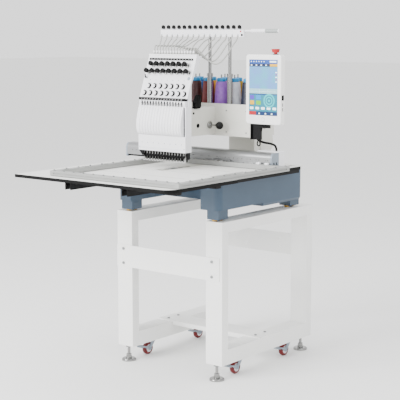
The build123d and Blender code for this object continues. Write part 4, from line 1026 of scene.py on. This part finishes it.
@dataclass
class ThreadStand:
    """The rail's guides, the cones of thread and the tubes down to the head."""

    rows: RowTree
    count: int = NEEDLES
    pitch: float = 28.6 * MM
    needle_pitch: float = NEEDLE_PITCH
    tube_radius: float = 2.7 * MM
    front_colours: tuple[tuple[str, str], ...] = (
        ("#1c5a2c", "#164a24"), ("#3a0a0c", "#2a0709"), ("#6a060a", "#4c0407"),
        ("#7434a0", "#a273c6"), ("#a9adba", "#d6d9e0"), ("#0a142e", "#070f22"))
    rear_colours: tuple[tuple[str, str], ...] = (
        ("#1a4f94", "#154382"), ("#d29a02", "#bd8900"), ("#c86f9c", "#b55c89"), ("#a08400", "#8c7300"),
        ("#cf4208", "#b83803"))

    def build(self) -> None:
        """Build the guides, the cones and the tubes."""
        self.guides()
        self.cones()
        self.tubes()
        self.lamp()

    def guides(self) -> None:
        """Fifteen oval ceramic-lined guides on small cups along the rail."""
        low, high = corners_of("thread_guides")
        rail_low = corners_of("thread_stand_rail")[0]
        middle = (low.y + high.y) / 2
        first = low.x + (high.x - low.x - 14 * self.pitch) / 2
        shape = bmesh.new()
        add_lathe(shape, in_mm((0, 0), (5.6, 0), (6.4, 2), (6.0, 3.5), (0, 3.5)),
                  (0, middle, low.z), (0, 0, 1), 16)
        # The cups are white cover plastic, painted darker as shade
        cup = piece("cup", shape, COVER_SHADE)
        rows = [(self.count, (first, 0, 0), (self.pitch, 0, 0))]
        keep(self.rows.build("guide_cups", cup, rows), "machine", slot="cover_white")
        shape = bmesh.new()
        lean = Vector((0.72, -0.55, 0.42)).normalized()
        centre = Vector((0, middle, (low.z + high.z) / 2 + 0.6 * MM))
        add_lathe(shape, in_mm((1.6, -3.4), (6.6, -4.2), (8.8, 0), (6.6, 4.2), (1.6, 3.4), (1.2, 0),
                               (1.6, -3.4)), centre, lean, 24)
        for vert in shape.verts:
            vert.co.z = centre.z + (vert.co.z - centre.z) * 1.18
        ring = piece("ring", shape, BLACK_GLOSS)
        keep(self.rows.build("guide_rings", ring, rows), "machine", "thread_guides",
             slot="black_plastic")
        shape = bmesh.new()
        add_lathe(shape, in_mm((0, 0), (2.0, 0), (2.0, 1.0), (0, 1.2)),
                  (0, rail_low.y, rail_low.z + 9 * MM), (0, -1, 0), 10)
        keep(self.rows.build("rail_screws", piece("rail_screw", shape, GREY_STEEL), rows),
             "machine",
             slot="zinc_steel")

    def cones(self) -> None:
        """Eleven cones: a cyan plastic cone with thread wound in the colour of each."""
        low, high = corners_of("cone_threads")
        across = 29 * MM
        front_y, rear_y = low.y + across, high.y - across
        front = [(low.x + across + n * 68 * MM, front_y, c) for n, c in enumerate(self.front_colours)]
        rear = [(low.x + across + (n + 0.5) * 68 * MM, rear_y, c) for n, c in enumerate(self.rear_colours)]
        base = corners_of("cone_cores")[0].z
        shape = bmesh.new()
        for number, (x, y, colours) in enumerate(front + rear):
            wound = Finish(f"thread_polyester_{number}", colours[0], colours[1], 0.45,
                           pattern=Pattern.WOUND, grain_mm=1.6, relief_mm=0.25, cloud_mm=14)
            thread = bmesh.new()
            steps = 10
            outline = [(17 * MM, 6 * MM), (28.4 * MM, 6.5 * MM)]
            outline += [(29 * MM - 6 * MM * (n / steps) - 0.8 * MM * (n / steps) ** 6,
                         7 * MM + 89.5 * MM * n / steps)
                        for n in range(steps + 1)]
            outline.append((15 * MM, 97 * MM))
            add_lathe(thread, outline, (x, y, base), (0, 0, 1), 40)
            obj = piece(f"cone_thread_{number}", thread, wound)
            keep(obj, "machine", *(("cone_threads",) if number == 0 else ()), slot="thread")
            add_lathe(shape,
                      in_mm((4, 0.2), (27.6, 0.2), (28.2, 1), (28.2, 5), (27, 6.2), (19, 6.4), (17, 96),
                            (19, 98), (19.6, 100), (18.6, 110), (16, 112), (12, 111), (11, 104), (4, 103),
                            (4, 0.2)), (x, y, base), (0, 0, 1), 36)
        keep(piece("cone_cores_wound", shape, CORE_CYAN), "machine", "cone_cores", slot="core_cyan")

    def tubes(self) -> None:
        """Fifteen translucent tubes from the rail to the head, the right-hand ones in loose loops."""
        low = corners_of("thread_tubes")[0]
        rail_low = corners_of("thread_stand_rail")[0]
        guide_low, guide_high = corners_of("thread_guides")
        board_high = corners_of("tension_board")[1]
        start_x = guide_low.x + (guide_high.x - guide_low.x - 14 * self.pitch) / 2
        end_x = corners_of("needle_bars")[0].x + BAR_MARGIN
        foot_y, foot_z = low.y + 3 * MM, board_high.z - 3 * MM
        shapes = []
        for number in range(self.count):
            top = Vector((start_x + number * self.pitch, rail_low.y - 2.4 * MM, rail_low.z + 6 * MM))
            foot = Vector((end_x + number * self.needle_pitch, foot_y, foot_z))
            loose = max(number - 7, 0)
            points = [top, top + Vector((0, -1 * MM, -16 * MM))]
            if loose:
                sag = foot.z + (14 - 10 * loose) * MM
                reach = top.lerp(foot, 0.5)
                points += [top.lerp(foot, 0.22) + Vector((loose * 3.5 * MM, 4 * MM, -3 * MM * loose)),
                           Vector((reach.x + loose * 4 * MM, reach.y + 12 * MM, sag + 18 * MM)),
                           Vector((foot.x + (26 + 4 * loose) * MM, foot.y + 62 * MM, sag)),
                           Vector((foot.x + (8 + 2 * loose) * MM, foot.y + 34 * MM,
                                   (sag + foot.z) / 2 + 12 * MM)),
                           foot + Vector((1 * MM, 8 * MM, 18 * MM))]
            else:
                points += [top.lerp(foot, 0.3) + Vector((0, 8 * MM, -6 * MM)),
                           top.lerp(foot, 0.62) + Vector((0, 12 * MM, -9 * MM)),
                           foot + Vector((0, 5 * MM, 26 * MM))]
            points += [foot + Vector((0, 0.5 * MM, 6 * MM)), foot]
            shapes.append(tube(f"thread_tube_{number}", points, self.tube_radius, TUBE_CLEAR, 2))
        for number, obj in enumerate(shapes):
            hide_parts("thread_tubes")
            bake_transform(obj)
            log.info("thread tube %d bends between the stand and the head", number)
        shape = bmesh.new()
        add_lathe(shape, in_mm((2.3, -4), (5.4, -4), (5.4, 3), (4.2, 4), (3.8, 13), (3.2, 15), (2.3, 15),
                               (2.3, -4)), (0, 0, 0), (0, 0, 1), 16)
        holder = piece("holder", shape, TUBE_CLEAR)
        keep(self.rows.build("tube_holders", holder, [(self.count, (end_x, foot_y, foot_z - 9 * MM),
                                                       (self.needle_pitch, 0, 0))]),
             "needle_case", slot="tube_clear")

    def lamp(self) -> None:
        """The lamp's grey sleeve, the red warning lens and the black switch at the rail's right end."""
        low, high = corners_of("thread_stand_rail")
        y = (low.y + high.y) / 2
        z = high.z - 8 * MM
        box_high = low.z + 28 * MM
        rail_end = high.x - 168 * MM
        shape = bmesh.new()
        add_lathe(shape, in_mm((0, 0), (3, 0), (3.4, 1.2), (2, 2.6), (0, 3)),
                  (rail_end - 14 * MM, low.y, box_high - 6 * MM), (0, -1, 0), 16)
        keep(piece("rail_lens", shape, STOP_RED), "machine", slot="red_plastic")
        shape = bmesh.new()
        add_block(shape, (rail_end - 12 * MM, low.y - 1.5 * MM, low.z + 3 * MM),
                  (rail_end - 4 * MM, low.y + 0.5 * MM, low.z + 12 * MM), 0.6 * MM)
        keep(piece("rail_switch", shape, BLACK_MOULDED), "machine", slot="black_plastic")
        shape = bmesh.new()
        radius = 8.25 * MM
        add_lathe(shape, [(radius - 0.3 * MM, 0.0), (radius, 0.2 * MM), (radius, 62 * MM),
                          (radius - 0.3 * MM, 62 * MM)],
                  (high.x - 66 * MM, y, z), (1, 0, 0), 28)
        keep(piece("lamp_diffuser", shape, GREY_LENS), "machine", slot="cover_white")


@dataclass
class Tablet:
    """The control unit's display, home key and side sockets."""

    lift: float = 0.25 * MM

    def __post_init__(self) -> None:
        """Read the screen's place."""
        self.low, self.high = corners_of("tablet_screen")

    def tile(self, name: str, finish: Finish, boxes: Sequence[tuple[float, float, float, float]],
             layer: int = 1,
             corner: float = 0.0) -> None:
        """Flat coloured areas on the display.

        Args:
            name: The piece's name.
            finish: Its finish.
            boxes: For each its left, right, top and bottom as shares of the display.
            layer: How many thin layers it stands in front of the glass.
            corner: The corners' radius, as a share of the smaller side.
        """
        width = self.high.x - self.low.x
        height = self.high.z - self.low.z
        shape = bmesh.new()
        for left, right, top, bottom in boxes:
            wide = (right - left) * width
            tall = (bottom - top) * height
            x = self.low.x + width * (left + right) / 2
            z = self.high.z - height * (top + bottom) / 2
            radius = max(min(wide, tall) * corner, 0.02 * MM)
            outline = [(x + px, self.low.y - self.lift * layer, z + pz) for px,
                       pz in round_rect(wide, tall, radius, 4)]
            add_prism(shape, outline, (0, self.lift, 0))
        keep(piece(name, shape, finish), "tablet", slot="screen_glass")

    def build(self) -> None:
        """Build the display's areas, then the keys and sockets."""
        for name, colour, deeper, boxes in (
                ("pane", "#2fb4a8", "#6a62cf", [(0, 1, 0.12, 0.52)]),
                ("list", "#8fb9c2", "#82aeb8", [(0, 1, 0.52, 0.62)]),
                ("top_bar", "#0f3f8c", "#174a99", [(0, 1, 0, 0.075), (0, 1, 0.61, 0.63)]),
                ("menu_bar", "#0a1838", "#0f2046", [(0, 0.73, 0.075, 0.125)]),
                ("tag", "#d9a80c", "#cf9c08", [(0.73, 1, 0.075, 0.125), (0.03, 0.18, 0.735, 0.815)]),
                ("tray", "#12708f", "#0f7a85", [(0, 1, 0.63, 0.93)]),
                ("foot_bar", "#0a2f5c", "#082850", [(0.25, 1, 0.93, 1)]),
                ("stop_tile", "#a8101e", "#980c19", [(0, 0.25, 0.93, 1)])):
            self.tile(f"display_{name}", display(name, colour, deeper), boxes)
        for name, colour, deeper, box in (("violet", "#5534b8", "#4a2ba8", (0.03, 0.18, 0.64, 0.715)),
                                          ("blue_tile", "#0a86c8", "#087ab9", (0.25, 0.42, 0.64, 0.715)),
                                          ("yellow_tile", "#d8a70a", "#cc9b06", (0.03, 0.18, 0.735, 0.81)),
                                          ("green_tile", "#66b22a", "#5aa420", (0.25, 0.42, 0.735, 0.81))):
            self.tile(f"display_{name}", display(name, colour, deeper), [box], 2, 0.2)
        white = display("white", "#e9f4f6", "#dcebee", 0.45)
        self.tile("display_keys", white, [(0.03 + 0.2 * n, 0.16 + 0.2 * n, 0.85, 0.895) for n in range(5)], 2,
                  0.3)
        self.tile("display_signs", white,
                  [(0.06 + 0.09 * n, 0.09 + 0.09 * n, 0.028, 0.045) for n in range(6)]
                  + [(0.72, 0.95, 0.02, 0.05)] + [(0.06 + 0.17 * n, 0.11 + 0.17 * n, 0.09,
                                                   0.11) for n in range(4)]
                  + [(0.34 + 0.22 * n, 0.39 + 0.22 * n, 0.955, 0.98) for n in range(3)]
                  + [(0.92, 0.98, 0.215, 0.235), (0.92, 0.98, 0.3, 0.32), (0.92, 0.98, 0.385, 0.4)]
                  + [(0.05, 0.95, 0.569, 0.572), (0.36, 0.363, 0.53, 0.61), (0.66, 0.663, 0.53, 0.61)], 2,
                  0.2)
        self.tile("display_swatches", display("swatches", "#c0394b", "#4a55b5"),
                  [(0.92, 0.98, 0.255, 0.272), (0.92, 0.98, 0.345, 0.362)], 2, 0.1)
        self.dial()
        self.keys()

    def dial(self) -> None:
        """The round jog dial of the display: rings of light and dark cyan."""
        width = self.high.x - self.low.x
        height = self.high.z - self.low.z
        centre = (self.low.x + 0.71 * width, self.low.y - self.lift, self.high.z - 0.732 * height)
        light = display("dial_light", "#2cb4b9", "#22a6af", 0.2)
        dark = display("dial_dark", "#0c7488", "#0a6a7c")
        for name, inner, outer, finish, step in (("rim", 0.15, 0.2, light, 1), ("field", 0.0, 0.15, dark, 1),
                                                 ("ring", 0.08, 0.12, light, 2),
                                                 ("hub", 0.0, 0.04, light, 2)):
            shape = bmesh.new()
            add_lathe(shape, [(inner * width, 0.0), (outer * width, 0.0), (outer * width, self.lift * step),
                              (inner * width, self.lift * step), (inner * width, 0.0)], centre, (0, -1, 0),
                              32)
            keep(piece(f"display_dial_{name}", shape, finish), "tablet", slot="screen_glass")

    def keys(self) -> None:
        """The home key's ring, the side socket and its small keys."""
        low, high = corners_of("tablet_housing")
        key_low, key_high = corners_of("home_button")
        centre = ((key_low.x + key_high.x) / 2, key_low.y, (key_low.z + key_high.z) / 2)
        radius = (key_high.x - key_low.x) / 2
        # The key's ring is white plastic painted darker as shade
        shape = bmesh.new()
        add_lathe(shape, [(radius * 0.78, 0.0), (radius * 0.97, 0.0), (radius * 0.97, 0.2 * MM),
                          (radius * 0.78, 0.2 * MM),
                          (radius * 0.78, 0.0)], centre, (0, -1, 0), 36)
        keep(piece("home_key_ring", shape, COVER_SHADE), "home_button", slot="tablet_white")
        shape = bmesh.new()
        middle = (low.y + high.y) / 2
        add_block(shape, (high.x - 1 * MM, middle - 7 * MM, low.z + 96 * MM),
                  (high.x + 1.2 * MM, middle + 7 * MM, low.z + 116 * MM), 0.5 * MM)
        for foot in (54, 72):
            add_block(shape, (high.x - 1 * MM, middle - 2 * MM, low.z + foot * MM),
                      (high.x + 0.5 * MM, middle + 2 * MM, low.z + (foot + 13) * MM), 0.4 * MM)
        keep(piece("tablet_side_sockets", shape, BLACK_MOULDED), "tablet", slot="black_plastic")


@dataclass
class Beam:
    """The beam's holes and belt, its end plate, the carriage and the frame's brackets."""

    rows: RowTree

    def build(self) -> None:
        """Build the small parts along the beam."""
        low, high = corners_of("x_beam")
        span = high.x - low.x
        shape = bmesh.new()
        add_lathe(shape, in_mm((0, 0), (1.7, 0), (1.7, 0.3), (0, 0.3)), (0, 0, 0), (0, -1, 0), 12)
        hole = piece("beam_hole", shape, BLACK_STEEL)
        keep(self.rows.build("beam_holes", hole, [(18, (low.x + 30 * MM, low.y, low.z + 20 * MM),
                                                   (span / 18, 0, 0))]), "beam",
                                                   slot="black_metal")
        shape = bmesh.new()
        add_block(shape, (low.x + 6 * MM, low.y + 1.5 * MM, low.z - 7 * MM),
                  (high.x - 6 * MM, high.y - 6 * MM, low.z))
        keep(piece("beam_belt_channel", shape, BLACK_STEEL), "beam", slot="black_metal")
        shape = bmesh.new()
        y = (low.y + high.y) / 2
        for dy in (-10 * MM, 8 * MM):
            add_block(shape, (high.x + 8 * MM - 0.1 * MM, y + dy - 3 * MM, low.z + 2 * MM),
                      (high.x + 8.6 * MM, y + dy + 3 * MM, low.z + 12 * MM))
            add_block(shape, (high.x + 8 * MM - 0.1 * MM, y + dy - 3 * MM, low.z + 2 * MM),
                      (high.x + 8.6 * MM, y + dy + 8 * MM, low.z + 5 * MM))
        keep(piece("end_plate_slots", shape, BLACK_STEEL), "beam", slot="black_metal")
        self.carriage()

    def carriage(self) -> None:
        """Polished blocks on the carriage, and white brackets and screws on the frame's rear bar."""
        low = corners_of("x_carriage")[0]
        frame_low, frame_high = corners_of("pantograph_frame")
        shape = bmesh.new()
        for place, wide in ((8, 14), (34, 20), (66, 16)):
            add_block(shape, (low.x + place * MM, low.y - 1 * MM, frame_high.z - 1.6 * MM),
                      (low.x + (place + wide) * MM, low.y + 9 * MM, frame_high.z + 3 * MM), 0.8 * MM)
        keep(piece("carriage_blocks", shape, POLISHED_STEEL), "pantograph", slot="polished_steel")
        shape = bmesh.new()
        rear = frame_high.y - 20 * MM
        for x in (frame_high.x - 150 * MM, frame_high.x - 110 * MM, frame_low.x + 30 * MM,
                  frame_low.x + 70 * MM):
            add_block(shape, (x, rear, frame_high.z - 1.8 * MM),
                      (x + 16 * MM, rear + 12 * MM, frame_high.z + 6 * MM), 1.5 * MM)
        keep(piece("frame_brackets", shape, COVER_WHITE), "pantograph", slot="cover_white")


@dataclass
class Needles:
    """The black clamps and the clamp screws on the needle bars, and black painted shade behind and between
    the needles.
    """

    rows: RowTree
    pitch: float = NEEDLE_PITCH
    count: int = NEEDLES
    active: int = 10

    def build(self) -> None:
        """Build the clamps on the waiting bars and on the working bar."""
        low, high = corners_of("needle_bars")
        case_low = corners_of("needle_case_body")[0]
        self.shade_behind_needles(low, high, case_low)
        first = low.x + BAR_MARGIN
        y = (low.y + high.y) / 2
        for name, body, rows in (
            ("waiting", "needle_case", [(self.active, (first, y, 0), (self.pitch, 0, 0)),
                                        (self.count - self.active - 1,
                                         (first + (self.active + 1) * self.pitch, y, 0),
                                         (self.pitch, 0, 0))]),
            ("working", "needle_bar", [(1, (first + self.active * self.pitch, y, 0), (self.pitch, 0, 0))])):
            shape = bmesh.new()
            top = case_low.z
            add_lathe(shape,
                      [(3.6 * MM, top - 24 * MM), (5.2 * MM, top - 23.4 * MM), (5.2 * MM, top - 15 * MM),
                              (4.2 * MM, top - 13.6 * MM), (3.6 * MM, top - 13.6 * MM),
                              (3.6 * MM, top - 24 * MM)],
                      (0, 0, 0), (0, 0, 1), 14)
            add_block(shape, (-1.6 * MM, -8.6 * MM, top - 21 * MM), (1.6 * MM, -4.6 * MM, top - 17.6 * MM),
                      0.5 * MM)
            clamp = piece("clamp_" + name, shape, BLACK_STEEL)
            keep(self.rows.build(f"needle_clamps_{name}", clamp, rows), body, slot="black_metal")

    def shade_behind_needles(self, low: Vector, high: Vector, case_low: Vector) -> None:
        """A black plate of painted shade behind the needles, and black blocks of painted shade in the gaps
        between them.

        Args:
            low: The needle bars' lowest corner.
            high: Their highest corner.
            case_low: The case's lowest corner.
        """
        middle = (low.y + high.y) / 2
        # Painted shade: a black plate where the inside of the case is in shadow
        shape = bmesh.new()
        add_block(shape, (low.x - 4 * MM, middle + 13.2 * MM, case_low.z - 39 * MM),
                  (high.x + 4 * MM, middle + 16 * MM, case_low.z), 0.5 * MM)
        keep(piece("needle_backing", shape, BLACK_STEEL), "needle_case", slot="black_metal")
        # Painted shade: black blocks in the shaded gaps between the needle bars
        shape = bmesh.new()
        add_block(shape, (-1.9 * MM, -3 * MM, case_low.z - 34 * MM), (1.9 * MM, 3 * MM, case_low.z), 0.4 * MM)
        rows = [(self.count - 1, (low.x + BAR_MARGIN + self.pitch / 2, middle, 0), (self.pitch, 0, 0))]
        keep(self.rows.build("needle_stems", piece("needle_stem", shape, BLACK_MOULDED), rows),
             "needle_case", slot="black_plastic")


@dataclass
class Studio:
    """The pale floor, the soft lights and the camera."""

    eye: tuple[float, float, float] = (3.0438, -3.6567, 1.3773)
    tilt: float = 81.794
    turn: float = 38.625
    lens: float = 106.4

    def build(self) -> None:
        """Build the floor, the world, three soft lights and the camera."""
        shape = bmesh.new()
        add_block(shape, (-40, -40, -0.02), (40, 40, 0))
        floor = piece("floor", shape,
                      Finish("floor_paper_white", "#f4f4f3", "#f1f1f0", 0.8, grain_mm=4, relief_mm=0.005))
        world = bpy.data.worlds.new("studio")
        world.use_nodes = True
        world.node_tree.nodes["Background"].inputs["Color"].default_value = srgb("#ffffff")
        world.node_tree.nodes["Background"].inputs["Strength"].default_value = 1.7
        bpy.context.scene.world = world
        for name, place, size, power in (("key", (-1.2, -4.2, 2.6), 2.6, 420),
                                         ("fill", (3.6, -1.4, 2.4), 2.4, 35),
                                         ("top", (0.3, 0.2, 3.8), 3.0, 60)):
            data = bpy.data.lights.new(name, "AREA")
            data.energy = power
            data.size = size
            lamp = link(bpy.data.objects.new(name, data))
            lamp.location = place
            lamp.rotation_euler = (Vector((0, 0, 0.9)) - Vector(place)).to_track_quat("-Z", "Y").to_euler()
        data = bpy.data.cameras.new("camera")
        data.lens = self.lens
        data.sensor_width = 36
        data.clip_end = 200
        camera = link(bpy.data.objects.new("camera", data))
        camera.location = self.eye
        camera.rotation_euler = (math.radians(self.tilt), 0, math.radians(self.turn))
        bpy.context.scene.camera = camera


def main() -> None:
    """Build the studio, dress the frame and build every detailed sub-assembly."""
    logging.basicConfig(level=logging.INFO, format="%(message)s")
    Studio().build()
    dress_nodes()
    rows = RowTree()
    for part in (Castors(rows), Table(rows), Arm(), Head(rows), Needles(rows), Beam(rows), ThreadStand(rows),
                 Tablet()):
        part.build()
        log.info("%s is built", type(part).__name__)


if __name__ == "__main__":
    main()
